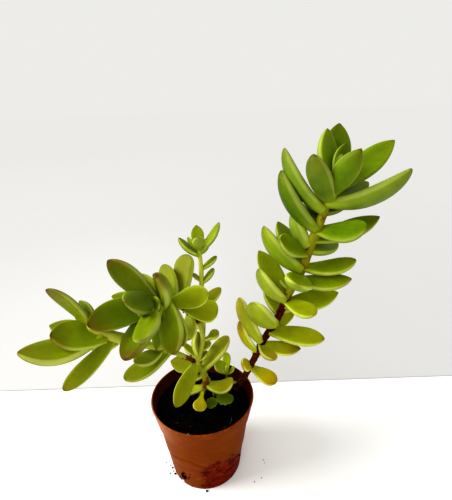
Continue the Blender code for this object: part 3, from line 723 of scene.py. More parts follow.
def old_scars(bark, reach, chance):
    """Random old leaf scars where a stem is bark, as (mm along it, angle round it)."""
    scars = []
    station = FIRST_SCAR
    while station < reach - SCARLESS_TOP:
        if between(bark, station) > LEAST_BARK:
            scars.append((station, float(chance.uniform(0, 2 * math.pi))))
        station += float(chance.uniform(2.2, 4.2))
    return scars


def swelling(roots, station, out):
    """How far a stem swells, in mm, under the leaves that stand on it near a station."""
    swell = 0.0
    for root, direction in roots:
        gap = abs(station - root)
        if gap < SWELL_REACH:
            facing = max(0.0, out.dot(direction))
            swell += SWELL * facing ** 2 * (1 - gap / SWELL_REACH) ** 2
    return swell


def scar_ring(scars, station, angle, radius):
    """How near a place on a stem is to the raised ring round an old scar, from 0 to 1."""
    scar = 0.0
    for place, turn in scars:
        gap = station - place
        if abs(gap) < SCAR_REACH:
            away = (angle - turn + math.pi) % (2 * math.pi) - math.pi
            distance = math.hypot(gap / SCAR_HEIGHT, away * radius / SCAR_WIDTH)
            scar = max(scar, max(0.0, 1 - abs(distance - SCAR_RING) / SCAR_EDGE))
    return scar


def grow_stem(skin, shoot, seed):
    """Add a stem's own skin: bark ridges, a swelling under each leaf, and old leaf scars."""
    fine = shoot.stem.for_skin()
    roots = leaf_roots(shoot)
    reach = fine.lengths[-1] - fine.foot
    scars = old_scars(shoot.bark, reach, np.random.default_rng(seed))
    rings = []
    values = []
    side = None
    for number, point in enumerate(fine.points):
        before = fine.points[max(number - 1, 0)]
        after = fine.points[min(number + 1, len(fine.points) - 1)]
        along = (after - before).normalized()
        side = (side or Vector((1, 0, 0))).cross(along).cross(along).normalized() * -1
        across = along.cross(side)
        radius = fine.radius(number)
        station = fine.lengths[number] - fine.foot
        barky = between(shoot.bark, station)
        ring = []
        scarred = []
        for angle in round_angles(STEM_SIDES):
            out = side * math.cos(angle) + across * math.sin(angle)
            place = Vector((out.x * 2.2, out.y * 2.2, station * 0.16)) + Vector((seed, 0, 0))
            ridge = noise.noise(place)
            lump = noise.noise(Vector((out.x * 3.5, out.y * 3.5, station * 0.9)))
            scar = scar_ring(scars, station, angle, radius)
            swell = swelling(roots, station, out)
            bark = barky * (BARK_LUMPS * lump + SCAR_LIFT * scar)
            ring.append((point + out * (radius * (1 + RIDGE * ridge) + swell + bark)) * MM)
            scarred.append(scar)
        rings.append(ring)
        values.append({
            "stem_bark": barky, "stem_scar": scarred,
            "stem_pale": between(shoot.pale, station), "stem_along": station * MM})
    tip = fine.points[-1] + along * radius
    skin.tube(rings, values, tip * MM, {**values[-1], "stem_scar": 0.0})


class Amount:
    """A socket's value. Sums with it add Math nodes to the finish that it belongs to."""

    def __init__(self, finish, socket):
        self.finish = finish
        self.socket = socket

    def math(self, operation, *values):
        return self.finish.add("ShaderNodeMath", {"operation": operation}, values)["Value"]

    def __add__(self, other):
        return self.math("ADD", self, other)

    def __sub__(self, other):
        return self.math("SUBTRACT", self, other)

    def __rsub__(self, other):
        return self.math("SUBTRACT", other, self)

    def __mul__(self, other):
        return self.math("MULTIPLY", self, other)

    def __truediv__(self, other):
        return self.math("DIVIDE", self, other)

    __radd__ = __add__
    __rmul__ = __mul__

    def size(self):
        return self.math("ABSOLUTE", self)

    def least(self, other):
        return self.math("MINIMUM", self, other)

    def rise(self, start, end):
        """0 up to start, 1 from end on, and a smooth step between them."""
        return self.finish.add(
            "ShaderNodeMapRange", {"interpolation_type": "SMOOTHSTEP"},
            {"Value": self, "From Min": start, "From Max": end})["Result"]


class Finish:
    """One material of the object, built up from its shader."""

    def __init__(self, name, **constants):
        self.material = bpy.data.materials.new(name)
        self.material.use_nodes = True
        self.nodes = self.material.node_tree.nodes
        self.links = self.material.node_tree.links
        self.shader = self.nodes["Principled BSDF"]
        for socket, value in constants.items():
            self.shader.inputs[socket.replace("_", " ")].default_value = value
        self.place = self.add("ShaderNodeTexCoord")["Object"]

    def add(self, kind, settings=None, inputs=()):
        """Add a node: its settings first, then its sockets by name or in order."""
        node = self.nodes.new(kind)
        for name, value in (settings or {}).items():
            setattr(node, name, value)
        usable = [socket for socket in node.inputs if socket.enabled]
        if isinstance(inputs, dict):
            wanted = [
                (next(socket for socket in usable if socket.name == name), value)
                for name, value in inputs.items()]
        else:
            wanted = list(zip(usable, inputs))
        for socket, value in wanted:
            self.feed(socket, value)
        return {socket.name: Amount(self, socket) for socket in node.outputs if socket.enabled}

    def feed(self, socket, value):
        """Link a socket to an amount, or set it to a plain value."""
        if isinstance(value, Amount):
            self.links.new(value.socket, socket)
        elif socket.type == "RGBA" and len(value) == 3:
            socket.default_value = (*value, 1.0)
        else:
            socket.default_value = value

    def read(self, name):
        """A value that is painted on the mesh."""
        return self.add("ShaderNodeAttribute", {"attribute_name": name})["Fac"]

    def shift(self, amount):
        """The place, moved along by an amount that differs from leaf to leaf."""
        return self.add(
            "ShaderNodeVectorMath", {"operation": "ADD"},
            (self.place, self.join(amount, 0.0, amount)))["Vector"]

    def stretch(self, *factors):
        """The place with its x, y and z scaled, for grain that runs one way."""
        return self.add(
            "ShaderNodeVectorMath", {"operation": "MULTIPLY"}, (self.place, factors))["Vector"]

    def grain(self, size, detail=3.0, place=None):
        """Noise from 0 to 1 with lumps of a size in mm."""
        return self.add("ShaderNodeTexNoise", {}, {
            "Vector": place or self.place, "Scale": 1000 / size, "Detail": detail,
            "Roughness": 0.55})["Fac"]

    def specks(self, size):
        """The distance from the nearest of many scattered points, as a share of their spacing."""
        return self.add("ShaderNodeTexVoronoi", {}, {
            "Vector": self.place, "Scale": 1000 / size})["Distance"]

    def mix(self, first, second, share):
        """A colour between two colours."""
        return self.add(
            "ShaderNodeMix", {"data_type": "RGBA"},
            {"Factor": share, "A": first, "B": second})["Result"]

    def scale(self, color, amount):
        """A colour made lighter or darker."""
        return self.add(
            "ShaderNodeVectorMath", {"operation": "SCALE"},
            {"Vector": color, "Scale": amount})["Vector"]

    def join(self, x, y, z):
        """A place made from three amounts."""
        return self.add("ShaderNodeCombineXYZ", {}, (x, y, z))["Vector"]

    def finish(self, color, roughness, height=None, distance=0.0001, strength=1.0):
        """Feed the shader, and give back the material."""
        self.feed(self.shader.inputs["Base Color"], color)
        self.feed(self.shader.inputs["Roughness"], roughness)
        if height is not None:
            bump = self.add("ShaderNodeBump", {}, {
                "Strength": strength, "Distance": distance, "Height": height})["Normal"]
            self.feed(self.shader.inputs["Normal"], bump)
        return self.material


def fleshy_leaf_skin(name, fresh, dark, gold):
    """A fleshy leaf: waxy and smooth, paler at its root and margins, browning at its tip, with
    painted sheen on rims and undersides and painted shade on dark leaves.
    """
    leaf = Finish(
        name, Specular_IOR_Level=0.34, IOR=1.33, Specular_Tint=(0.95, 1.0, 0.45, 1.0),
        Subsurface_Weight=0.25, Subsurface_Scale=0.0012, Subsurface_Radius=(1.0, 0.9, 0.1))
    along, across, upper, ripe, deep, blush, chance, length = (
        leaf.read(name) for name in LEAF_PAINT)
    from_middle = across.size()
    lengthwise = leaf.join(across * 0.0035, along * length * 0.22, chance)
    streaks = leaf.grain(0.9, 3.0, lengthwise)
    mottle = leaf.grain(5.0, 3.0)
    fine = leaf.grain(0.7, 2.0)
    patches = leaf.grain(6.0, 2.0, leaf.shift(chance * 0.5))
    # The darker green mixed in by deep is partly the leaf's own colour and partly painted shade.
    flesh = leaf.mix(leaf.mix(fresh, dark, deep), gold, ripe)
    flesh = leaf.mix(flesh, linear(158, 176, 40), (1 - along.rise(0.15, 0.75)) * ripe * 0.55)
    brown = patches.rise(0.42, 0.62) * blush * along.rise(0.5, 0.9)
    flesh = leaf.mix(flesh, linear(134, 98, 6), brown * 0.7)
    flesh = leaf.scale(flesh, 0.80 + patches * 0.38)
    glow = from_middle.rise(0.3, 0.95) * (0.3 - deep * 0.16)
    flesh = leaf.mix(flesh, linear(146, 168, 14), glow)
    root = 1 - along.rise(0.02, 0.34)
    flesh = leaf.mix(flesh, linear(168, 178, 40), root * 0.36)
    # Grey-green on the undersides: partly a waxy coat and partly a painted sheen.
    bloom_and_sheen = (1 - upper) * (0.5 + mottle * 0.8) * (0.6 + along * 0.5)
    bloom_and_sheen = (bloom_and_sheen * chance * (0.65 - deep * 0.4)).least(0.5)
    flesh = leaf.mix(flesh, linear(142, 156, 80), bloom_and_sheen)
    ripe_end = (along + mottle * 0.4).rise(0.55, 1.1) * ripe.rise(0.66, 0.98)
    flesh = leaf.mix(flesh, linear(214, 166, 18), ripe_end * 0.32)
    # Pale rims: partly the leaf's own paler edge and partly a painted sheen.
    pale_rim_and_sheen = from_middle.rise(0.89, 0.98) * along.rise(0.06, 0.2)
    flesh = leaf.mix(flesh, linear(222, 222, 136), pale_rim_and_sheen * (0.2 + ripe * 0.6))
    shade = 0.72 + mottle * 0.26 + streaks * 0.20 + fine * 0.10
    # Leaves marked deep are made a little darker still: painted shade.
    flesh = leaf.scale(flesh, shade * (1.05 - deep * 0.11))
    tip = (along + mottle * 0.2 - 0.1 + from_middle * 0.1).rise(0.66, 1.06)
    flesh = leaf.mix(flesh, linear(74, 76, 2), (tip * blush).least(0.85))
    edge = (along + from_middle * 0.2 + mottle * 0.3).rise(0.98, 1.3) * blush
    flesh = leaf.mix(flesh, linear(126, 88, 6), edge * 0.42)
    point = along.rise(0.95, 0.99) * (0.2 + blush * 0.9).least(0.9)
    flesh = leaf.mix(flesh, linear(80, 46, 8), point)
    dots = 1 - leaf.specks(1.5).rise(0.05, 0.13)
    flesh = leaf.mix(flesh, linear(96, 92, 30), dots * mottle.rise(0.55, 0.7) * 0.35)
    roughness = 0.36 + fine * 0.10 + mottle * 0.10
    height = fine * 0.35 + streaks * 0.6 + mottle * 2.2
    return leaf.finish(flesh, roughness, height, 0.00009, 0.55)


def stem_skin(name, green, bark):
    """A stem: green and smooth where it is young, brown and scaly where it is old."""
    stem = Finish(
        name, Specular_IOR_Level=0.12, IOR=1.3, Subsurface_Weight=0.12, Subsurface_Scale=0.001,
        Subsurface_Radius=(1.0, 0.8, 0.3))
    barky, scar, pale, along = (stem.read(name) for name in STEM_PAINT)
    lumps = stem.grain(2.4, 4.0)
    flakes = stem.grain(0.5, 3.0)
    fibres = stem.grain(0.55, 3.0, stem.stretch(1.0, 1.0, 0.22))
    cover = (barky + (lumps - 0.5) * 0.9 + (flakes - 0.5) * 0.3).rise(0.42, 0.6)
    skin = stem.mix(green, linear(176, 180, 72), pale)
    skin = stem.scale(skin, 0.82 + lumps * 0.36)
    old = barky.rise(0.55, 0.95)
    worn = 1 - along.rise(0.016, 0.034)
    brown = stem.mix(linear(114, 80, 14), stem.mix(bark, linear(112, 54, 14), worn * 0.5), old)
    brown = stem.mix(brown, linear(40, 10, 4), fibres.rise(0.4, 0.62) * (0.35 + old * 0.65))
    brown = stem.mix(brown, linear(164, 98, 34), flakes.rise(0.56, 0.66) * (0.25 + worn * 0.5))
    skin = stem.mix(skin, brown, cover)
    skin = stem.mix(skin, linear(168, 136, 92), scar.rise(0.55, 1.0) * 0.45)
    height = cover * 0.6 + flakes * cover * 0.8 + fibres * 0.4
    soiled = (1 - along.rise(0.001, 0.009)) * lumps.rise(0.3, 0.6)
    skin = stem.mix(skin, linear(26, 15, 9), soiled * 0.85)
    return stem.finish(skin, 0.42 + cover * 0.3, height, 0.00015, 0.8)


def collar_radius(height):
    """The outside radius of the leaning collar under the rim."""
    return RIM_RADIUS - (POT_HEIGHT - height) * COLLAR_LEAN


def outer_radius(height):
    """The outside radius of the pot, with soft edges at the collar's foot and the ring."""
    wall_height = POT_HEIGHT - COLLAR_HEIGHT - COLLAR_STEP
    top = collar_radius(wall_height) - COLLAR_STEP
    soft = 1 / (1 + math.exp(-(height - RING_HEIGHT) / RING_SOFTNESS))
    wall = BASE_RADIUS + (top - RING_STEP - BASE_RADIUS) * height / wall_height + RING_STEP * soft
    share = limit((height - wall_height) / COLLAR_STEP, 0.0, 1.0)
    share = share * share * (3 - 2 * share)
    return wall * (1 - share) + collar_radius(height) * share


# Marks on the pot's wall as (angle in degrees, height in mm): a shallow fold in the thin
# plastic, and the upper edge of the part that wet soil has stained.
FOLD = (
    (-142, 20.4), (-133, 21.6), (-124.6, 23.0), (-116.3, 23.6), (-106.2, 23.6), (-96.2, 21.6),
    (-84.7, 19.6), (-78, 19.2))
STAIN_TOP = (
    (-110, 16), (-92, 20), (-86, 21), (-82, 25), (-74, 26), (-64, 25), (-52, 24), (-34, 19),
    (-15, 12), (10, 4), (30, -8))

# Where the fold begins and ends and over how many degrees, and how wide the painted shade along it
# is in mm.
FOLD_START = FOLD[0][0] - 6
FOLD_END = FOLD[-1][0] + 6
START_FADE = 12
END_FADE = 10
FOLD_SHADE_WIDTH = 0.5

# The angle that the stain begins at, and how it fades upward in mm and sideways in degrees.
STAIN_LEFT = -100
STAIN_FADE = 8
STAIN_SIDE_FADE = 18

# The scuffed band at the rim in mm, and the painted highlight high on the left: the middle and
# width of it in degrees, and the height that it begins at and fades in over, in mm.
RIM_BAND = 0.9
HIGHLIGHT_MIDDLE = -150
HIGHLIGHT_WIDTH = 24
HIGHLIGHT_FOOT = 30
HIGHLIGHT_FADE = 12


def moulded_pot():
    """The thin moulded pot: turned about its axis, a little out of round, folded and notched."""
    heights = [0.08, 0.22, 0.45]
    for low, high, count in WALL_RINGS:
        heights += list(np.linspace(low, high, count))
    profile = [(BASE_RADIUS - inward, height) for inward, height in FOOT]
    profile += [
        (outer_radius(height) - 0.12 * math.exp(-height / 0.2), height) for height in heights]
    for step in range(RIM_STEPS + 1):
        angle = math.pi * step / RIM_STEPS
        profile.append((
            RIM_RADIUS - WALL / 2 + WALL / 2 * math.cos(angle) - 0.02,
            POT_HEIGHT - WALL / 2 + WALL / 2 * math.sin(angle)))
    inside = sorted((height for height in heights if height > FLOOR + 0.8), reverse=True)[::2]
    profile += [(outer_radius(height) - WALL, height) for height in inside]
    corner = outer_radius(FLOOR) - WALL
    profile += [(corner - inward, FLOOR + up) for inward, up in CORNER]
    profile += [(corner * share, FLOOR) for share in FLOOR_RINGS]
    bm = bmesh.new()
    rings = [
        [bm.verts.new(pot_point(radius, height, angle)) for angle in round_angles(POT_SIDES)]
        for radius, height in profile]
    for lower, upper in zip(rings, rings[1:]):
        for k in range(POT_SIDES):
            after = (k + 1) % POT_SIDES
            bm.faces.new((lower[k], lower[after], upper[after], upper[k]))
    bm.faces.new(rings[-1])
    bm.faces.new(list(reversed(rings[0])))
    bmesh.ops.recalc_face_normals(bm, faces=bm.faces)
    mesh = notched(to_mesh(bm, "moulded_pot"))
    paint_pot(mesh)
    make_piece("moulded_pot", mesh, pot_plastic(), "pot", 38.0)


def fold_at(angle, height):
    """How strong the fold is at an angle, from 0 to 1, and how far above it a height is, in mm."""
    degrees = math.degrees(angle)
    if degrees > 180:
        degrees -= 360
    if not FOLD_START < degrees < FOLD_END:
        return 0.0, 0.0
    strength = min(1.0, (degrees - FOLD_START) / START_FADE, (FOLD_END - degrees) / END_FADE)
    return strength, height - between(FOLD, degrees)


def pot_point(radius, height, angle):
    """A point of the pot, a little out of round and dented along the fold."""
    place = Vector((math.cos(angle) * 1.4, math.sin(angle) * 1.4, height / 16))
    foot = min(1.0, height / 8)
    rim = min(1.0, (POT_HEIGHT - height) / 6)
    radius += WOBBLE * noise.noise(place) * foot * rim
    strength, away = fold_at(angle, height)
    if strength > 0:
        dent = FOLD_DEPTH * math.exp(-(away / FOLD_WIDTH) ** 2)
        bulge = BULGE_HEIGHT * math.exp(-((away + BULGE_BELOW) / BULGE_WIDTH) ** 2)
        radius -= strength * (dent - bulge)
    return Vector((radius * math.cos(angle), radius * math.sin(angle), height)) * MM


def notched(mesh):
    """Cut the drainage notches through the pot's lower edge."""
    pot = placed("pot_blank", mesh)
    bm = bmesh.new()
    for number in range(NOTCHES):
        block = bmesh.ops.create_cube(bm, size=1.0)["verts"]
        angle = NOTCH_ANGLE + 2 * math.pi * number / NOTCHES
        size = Matrix.Diagonal((5.0 * MM, NOTCH_WIDTH * MM, 2 * NOTCH_HEIGHT * MM, 1.0))
        out = Matrix.Translation((BASE_RADIUS * MM, 0, 0))
        bmesh.ops.transform(bm, matrix=Matrix.Rotation(angle, 4, "Z") @ out @ size, verts=block)
    cutter = placed("notch_blocks", to_mesh(bm, "notch_blocks"))
    modifier = pot.modifiers.new("notches", "BOOLEAN")
    modifier.object = cutter
    modifier.operation = "DIFFERENCE"
    modifier.solver = "EXACT"
    bpy.context.view_layer.update()
    seen = pot.evaluated_get(bpy.context.evaluated_depsgraph_get())
    result = bpy.data.meshes.new_from_object(seen)
    bpy.data.objects.remove(pot, do_unlink=True)
    bpy.data.objects.remove(cutter, do_unlink=True)
    return result


def paint_pot(mesh):
    """Paint where the fold's painted shade, the stain, the rim, the inside and the painted
    highlight are.
    """
    stained, folded, rim, inside, highlight = [], [], [], [], []
    for vertex in mesh.vertices:
        x, y, z = vertex.co / MM
        angle = math.atan2(y, x)
        radius = math.hypot(x, y)
        degrees = math.degrees(angle)
        top = between(STAIN_TOP, degrees)
        stain = min((top - z) / STAIN_FADE, (degrees - STAIN_LEFT) / STAIN_SIDE_FADE)
        stained.append(limit(stain, -1.0, 1.0))
        strength, away = fold_at(angle, z)
        # How much painted shade lies along the fold's crease.
        folded.append(strength * math.exp(-(away / FOLD_SHADE_WIDTH) ** 2))
        rim.append(math.exp(-((POT_HEIGHT - z) / RIM_BAND) ** 2))
        # Where the painted highlight lies, high on the pot's left.
        sideways = math.exp(-((degrees - HIGHLIGHT_MIDDLE) / HIGHLIGHT_WIDTH) ** 2)
        highlight.append(sideways * limit((z - HIGHLIGHT_FOOT) / HIGHLIGHT_FADE, 0.0, 1.0))
        hollow = radius < outer_radius(limit(z, 0.0, POT_HEIGHT - 0.6)) - WALL * 0.6
        inside.append(1.0 if hollow and z > FLOOR / 2 else 0.0)
    paint_mesh(mesh, {
        "pot_stain": stained, "pot_fold_shade": folded, "pot_rim": rim, "pot_inside": inside,
        "pot_painted_highlight": highlight})


def pot_plastic():
    """Terracotta-brown plastic: faintly streaked, scuffed at its rim, stained by wet soil, with a
    painted highlight high on its left and painted shade along its fold and inside.
    """
    pot = Finish(
        "terracotta_plastic", Specular_IOR_Level=0.08, IOR=1.25,
        Specular_Tint=(1.0, 0.55, 0.25, 1.0))
    stain = pot.read("pot_stain")
    rim = pot.read("pot_rim")
    broad = pot.grain(14.0, 2.0)
    cloud = pot.grain(4.0, 4.0)
    fine = pot.grain(0.8, 3.0)
    flow = pot.grain(1.6, 3.0, pot.stretch(1.0, 1.0, 0.12))
    smudge = pot.grain(5.0, 3.0, pot.stretch(0.6, 0.6, 1.2))
    shade = 0.82 + broad * 0.16 + cloud * 0.12 + flow * 0.10
    color = pot.scale(linear(118, 57, 2), shade)
    color = pot.mix(color, linear(84, 36, 1), smudge.rise(0.52, 0.68) * 0.2)
    color = pot.mix(color, linear(146, 82, 14), (1 - smudge).rise(0.54, 0.7) * 0.25)
    wet = (stain + (cloud - 0.5) * 2.4 + (fine - 0.5) * 1.6).rise(-0.05, 0.75)
    blots = (fine * 0.8 + cloud * 0.6).rise(0.56, 0.8)
    red = pot.mix(linear(128, 18, 0), linear(70, 5, 0), blots)
    color = pot.mix(color, red, wet * (0.72 + blots * 0.26))
    # Painted highlight: a pale pinkish patch high on the pot's left.
    color = pot.mix(color, linear(186, 134, 104), pot.read("pot_painted_highlight") * (0.42 + cloud * 0.3))
    # Painted shade along the fold's crease.
    color = pot.mix(color, linear(66, 28, 4), pot.read("pot_fold_shade") * 0.42)
    scuff = rim * (flow * 0.6 + fine * 0.5).rise(0.45, 0.75)
    color = pot.mix(color, linear(176, 96, 40), scuff * 0.5)
    dirt = 1 - pot.specks(2.6).rise(0.05, 0.10)
    color = pot.mix(color, linear(40, 22, 12), dirt * cloud.rise(0.52, 0.66) * 0.7)
    # Painted shade: the inside of the pot is made darker.
    shaded_inside = pot.read("pot_inside")
    color = pot.mix(color, linear(52, 16, 6), shaded_inside * 0.7)
    roughness = 0.36 + cloud * 0.14 + wet * 0.08 + shaded_inside * 0.15
    height = flow * 0.5 + fine * 0.3 + wet * blots * 0.8
    return pot.finish(color, roughness, height, 0.00008, 0.6)


def soil_height(x, y, radius):
    """The uneven top of the soil, level where it meets the wall."""
    place = Vector((x, y, 0)) / SOIL_BUMP_SIZE
    share = math.hypot(x, y) / radius
    return SOIL_TOP + SOIL_BUMP * noise.noise(place) * (1 - share ** 4)


def soil_surface(x, y, radius):
    """The soil's top with its crumbs and hollows, in mm."""
    height = soil_height(x, y, radius)
    height += LUMP_HEIGHT * noise.noise(Vector((x, y, 3.0)) / LUMP_SIZE)
    height += CRUMB_HEIGHT * abs(noise.noise(Vector((x, y, 9.0)) / CRUMB_SIZE))
    height += GRIT_HEIGHT * noise.noise(Vector((x, y, 5.0)) / GRIT_SIZE)
    return height - SOIL_SINK


def potting_mix_bed():
    """The plug of potting mix, crumbly on top."""
    radius = outer_radius(SOIL_TOP) - WALL - SOIL_GAP
    bm = bmesh.new()
    rings = [[bm.verts.new(Vector((0, 0, soil_surface(0, 0, radius))) * MM)]]
    for row in range(1, SOIL_ROWS + 1):
        reach = radius * row / SOIL_ROWS
        ring = []
        for angle in round_angles(SOIL_SIDES):
            x, y = reach * math.cos(angle), reach * math.sin(angle)
            ring.append(bm.verts.new(Vector((x, y, soil_surface(x, y, radius))) * MM))
        rings.append(ring)
    for height in SOIL_LEVELS:
        reach = outer_radius(height) - WALL - DEEP_GAP
        rings.append([
            bm.verts.new(Vector((reach * math.cos(angle), reach * math.sin(angle), height)) * MM)
            for angle in round_angles(SOIL_SIDES)])
    for k in range(SOIL_SIDES):
        bm.faces.new((rings[0][0], rings[1][k], rings[1][(k + 1) % SOIL_SIDES]))
    for lower, upper in zip(rings[1:], rings[2:]):
        for k in range(SOIL_SIDES):
            after = (k + 1) % SOIL_SIDES
            bm.faces.new((lower[k], upper[k], upper[after], lower[after]))
    bm.faces.new(list(reversed(rings[-1])))
    bmesh.ops.recalc_face_normals(bm, faces=bm.faces)
    make_piece(
        "potting_mix_bed", to_mesh(bm, "potting_mix_bed"), soil_finish("potting_mix"),
        "potting_soil", 80.0)


def soil_finish(name):
    """Black, damp potting mix with brown bits."""
    soil = Finish(name, Specular_IOR_Level=0.05)
    lumps = soil.grain(1.6, 5.0)
    fine = soil.grain(0.35, 3.0)
    brown = (lumps * 0.7 + fine * 0.4).rise(0.5, 0.8)
    color = soil.mix(linear(5, 3, 2), linear(30, 19, 12), brown)
    bits = 1 - soil.specks(1.3).rise(0.06, 0.14)
    color = soil.mix(color, linear(96, 66, 42), bits * fine.rise(0.5, 0.6) * 0.6)
    grit = 1 - soil.specks(3.0).rise(0.03, 0.07)
    color = soil.mix(color, linear(150, 132, 106), grit * 0.6)
    return soil.finish(color, 0.7 + fine * 0.25, lumps * 1.5 + fine, 0.0002, 1.0)


def crumb(skin, center, size, chance):
    """Add one lumpy crumb."""
    stretch = chance.uniform(0.7, 1.5, 3)
    turn = Matrix.Rotation(chance.uniform(0, 6.3), 3, Vector(chance.normal(size=3)).normalized())
    shift = Vector(chance.uniform(-50, 50, 3))
    rings = []
    for row in range(1, CRUMB_ROWS):
        tilt = math.pi * row / CRUMB_ROWS
        ring = []
        for angle in round_angles(CRUMB_SIDES):
            out = Vector((
                math.sin(tilt) * math.cos(angle), math.sin(tilt) * math.sin(angle), math.cos(tilt)))
            lump = 1 + 0.5 * noise.noise(out * 1.6 + shift)
            shaped = Vector([out[i] * stretch[i] for i in range(3)]) * (size / 2 * lump)
            ring.append((center + turn @ shaped) * MM)
        rings.append(list(reversed(ring)))
    skin.tube(rings)


def scattered_crumbs():
    """Loose crumbs of peat and bark on the soil."""
    chance = np.random.default_rng(11)
    radius = outer_radius(SOIL_TOP) - WALL
    skin = Skin()
    for _ in range(PEAT_CRUMBS):
        x, y = random_spot(chance, radius - 0.9)
        size = 0.45 + 1.5 * chance.uniform(0, 1) ** 3
        center = Vector((x, y, soil_surface(x, y, radius) + size * 0.18))
        crumb(skin, center, size, chance)
    skin.make("peat_crumbs", soil_finish("peat_crumb_brown"), sharp_angle=80.0)


def strand(skin, points, thick, sides=7):
    """Add a thin strand through points, in mm."""
    line = smooth_route(points)
    rings = []
    for number, point in enumerate(line):
        along = (line[min(number + 1, len(line) - 1)] - line[max(number - 1, 0)]).normalized()
        side = along.orthogonal().normalized()
        across = along.cross(side)
        radius = thick / 2 * (0.55 + 0.45 * math.sin(math.pi * number / (len(line) - 1)))
        rings.append([
            (point + radius * (side * math.cos(angle) + across * math.sin(angle))) * MM
            for angle in round_angles(sides)])
    skin.tube(rings)


def dry_fibre_finish():
    """Pale dry root fibre."""
    fibre = Finish("dry_fibre", Specular_IOR_Level=0.3)
    spots = fibre.grain(0.6, 3.0)
    color = fibre.mix(linear(150, 124, 88), linear(92, 66, 40), spots.rise(0.4, 0.7))
    return fibre.finish(color, 0.6 + spots * 0.2, spots, 0.00005, 0.6)


def soil_fibres():
    """Dry root fibres and splinters on the soil, one of them long and curved."""
    chance = np.random.default_rng(23)
    radius = outer_radius(SOIL_TOP) - WALL
    skin = Skin()

    def lying(x, y, lift):
        return (x, y, soil_surface(x, y, radius) + lift)

    strand(skin, (
        lying(14.0, -8.6, 0.2), lying(15.0, -10.4, 0.5), lying(15.2, -12.4, 0.45),
        lying(14.2, -14.6, 0.2)), 0.26)
    for _ in range(FIBRES):
        x, y = random_spot(chance, radius - 4)
        turn = chance.uniform(0, 2 * math.pi)
        long = chance.uniform(0.8, 2.6)
        bend = chance.uniform(-0.5, 0.5)
        dx, dy = math.cos(turn) * long / 2, math.sin(turn) * long / 2
        strand(skin, (
            lying(x - dx, y - dy, 0.15), lying(x - dy * bend, y + dx * bend, 0.4),
            lying(x + dx, y + dy, 0.15)), chance.uniform(0.1, 0.22))
    skin.make("dry_fibres", dry_fibre_finish(), sharp_angle=80.0)


# Crumbs that lie on the sheet: x, y and size in mm.
FALLEN = (
    (0.7, -20.6, 0.9), (-29.2, 15.8, 0.45), (-19.5, -6.3, 0.8), (-17.4, -10.1, 0.9),
    (-18.6, -8.4, 0.5), (26.5, -16.3, 0.5), (30.6, -14.2, 0.45), (32.8, -3.3, 0.4),
    (33.2, -5.2, 0.35), (-23.4, -3.0, 0.5), (-21.0, -4.6, 0.45), (-20.4, -9.6, 0.5))

# Soil that clings to the pot's wall: angle in degrees, height and size in mm.
CLINGING = (
    (-124.3, 7.6, 1.5), (-122.6, 6.4, 1.3), (-126.4, 8.6, 1.0), (-120.2, 8.2, 0.8),
    (-127.6, 6.2, 0.9), (-110.5, 12.3, 0.55), (-113.9, 8.6, 0.6), (-112.4, 10.4, 0.4),
    (-116.0, 6.8, 0.5), (-108.6, 9.6, 0.35), (-153.6, 6.5, 0.6), (-148.0, 2.4, 0.6),
    (-112.0, 0.9, 0.8), (-30.1, 13.7, 0.7), (-36.0, 15.4, 0.5), (-123.2, 10.4, 0.9),
    (-120.6, 10.2, 0.6), (-128.4, 7.6, 0.8), (-121.2, 6.0, 0.9), (-118.6, 7.0, 0.5),
    (-24.0, 11.0, 0.6), (-144.0, 9.5, 0.4), (-135.0, 3.2, 0.5), (-106.0, 5.2, 0.35),
    (-101.0, 3.2, 0.3))


def clinging_crumbs():
    """Crumbs that stick to the outside of the pot, most of them low on its left."""
    chance = np.random.default_rng(31)
    skin = Skin()
    for degrees, height, size in CLINGING:
        angle = math.radians(degrees)
        reach = outer_radius(height) + size * 0.12
        center = Vector((reach * math.cos(angle), reach * math.sin(angle), height))
        crumb(skin, center, size, chance)
    skin.make("clinging_crumbs", soil_finish("clinging_soil"), sharp_angle=80.0)


def husk_finish():
    """Papery brown husk with paler spots."""
    husk = Finish("papery_husk", Specular_IOR_Level=0.3)
    spots = husk.grain(0.7, 3.0)
    color = husk.mix(linear(98, 50, 12), linear(170, 130, 72), spots.rise(0.45, 0.6))
    return husk.finish(color, 0.6 + spots * 0.2, spots, 0.00006, 0.6)


def withered_bases(stubs):
    """Papery stubs where lower leaves have dropped from the stems."""
    chance = np.random.default_rng(53)
    skin = Skin()
    for stem, spots in stubs:
        for station, clock, reach, wide in spots:
            place, direction = stem.at(station)
            right, up, look = view_axes(place * MM)
            turn = math.radians(clock)
            out = right * math.cos(turn) + up * math.sin(turn) - look * 0.5
            out = (out - direction * out.dot(direction)).normalized()
            start = place + out * 0.9
            end = place + out * (1.7 + reach) + direction * float(chance.uniform(0.2, 0.6))
            strand(skin, (start, (start + end) / 2 + direction * 0.2, end), wide, 8)
    skin.make("withered_leaf_bases", husk_finish())


def rim_scrap():
    """A pale scrap of husk that stands on the pot's front rim."""
    skin = Skin()
    angle = math.radians(-102)
    rim = Vector((math.cos(angle), math.sin(angle), 0)) * (RIM_RADIUS - WALL / 2)
    strand(skin, (
        rim + Vector((0.7, 0, POT_HEIGHT - 0.1)), rim + Vector((0.1, 0.1, POT_HEIGHT + 0.35)),
        rim + Vector((-0.6, 0.2, POT_HEIGHT - 0.05))), 0.5, 8)
    skin.make("rim_scrap", dry_fibre_finish())


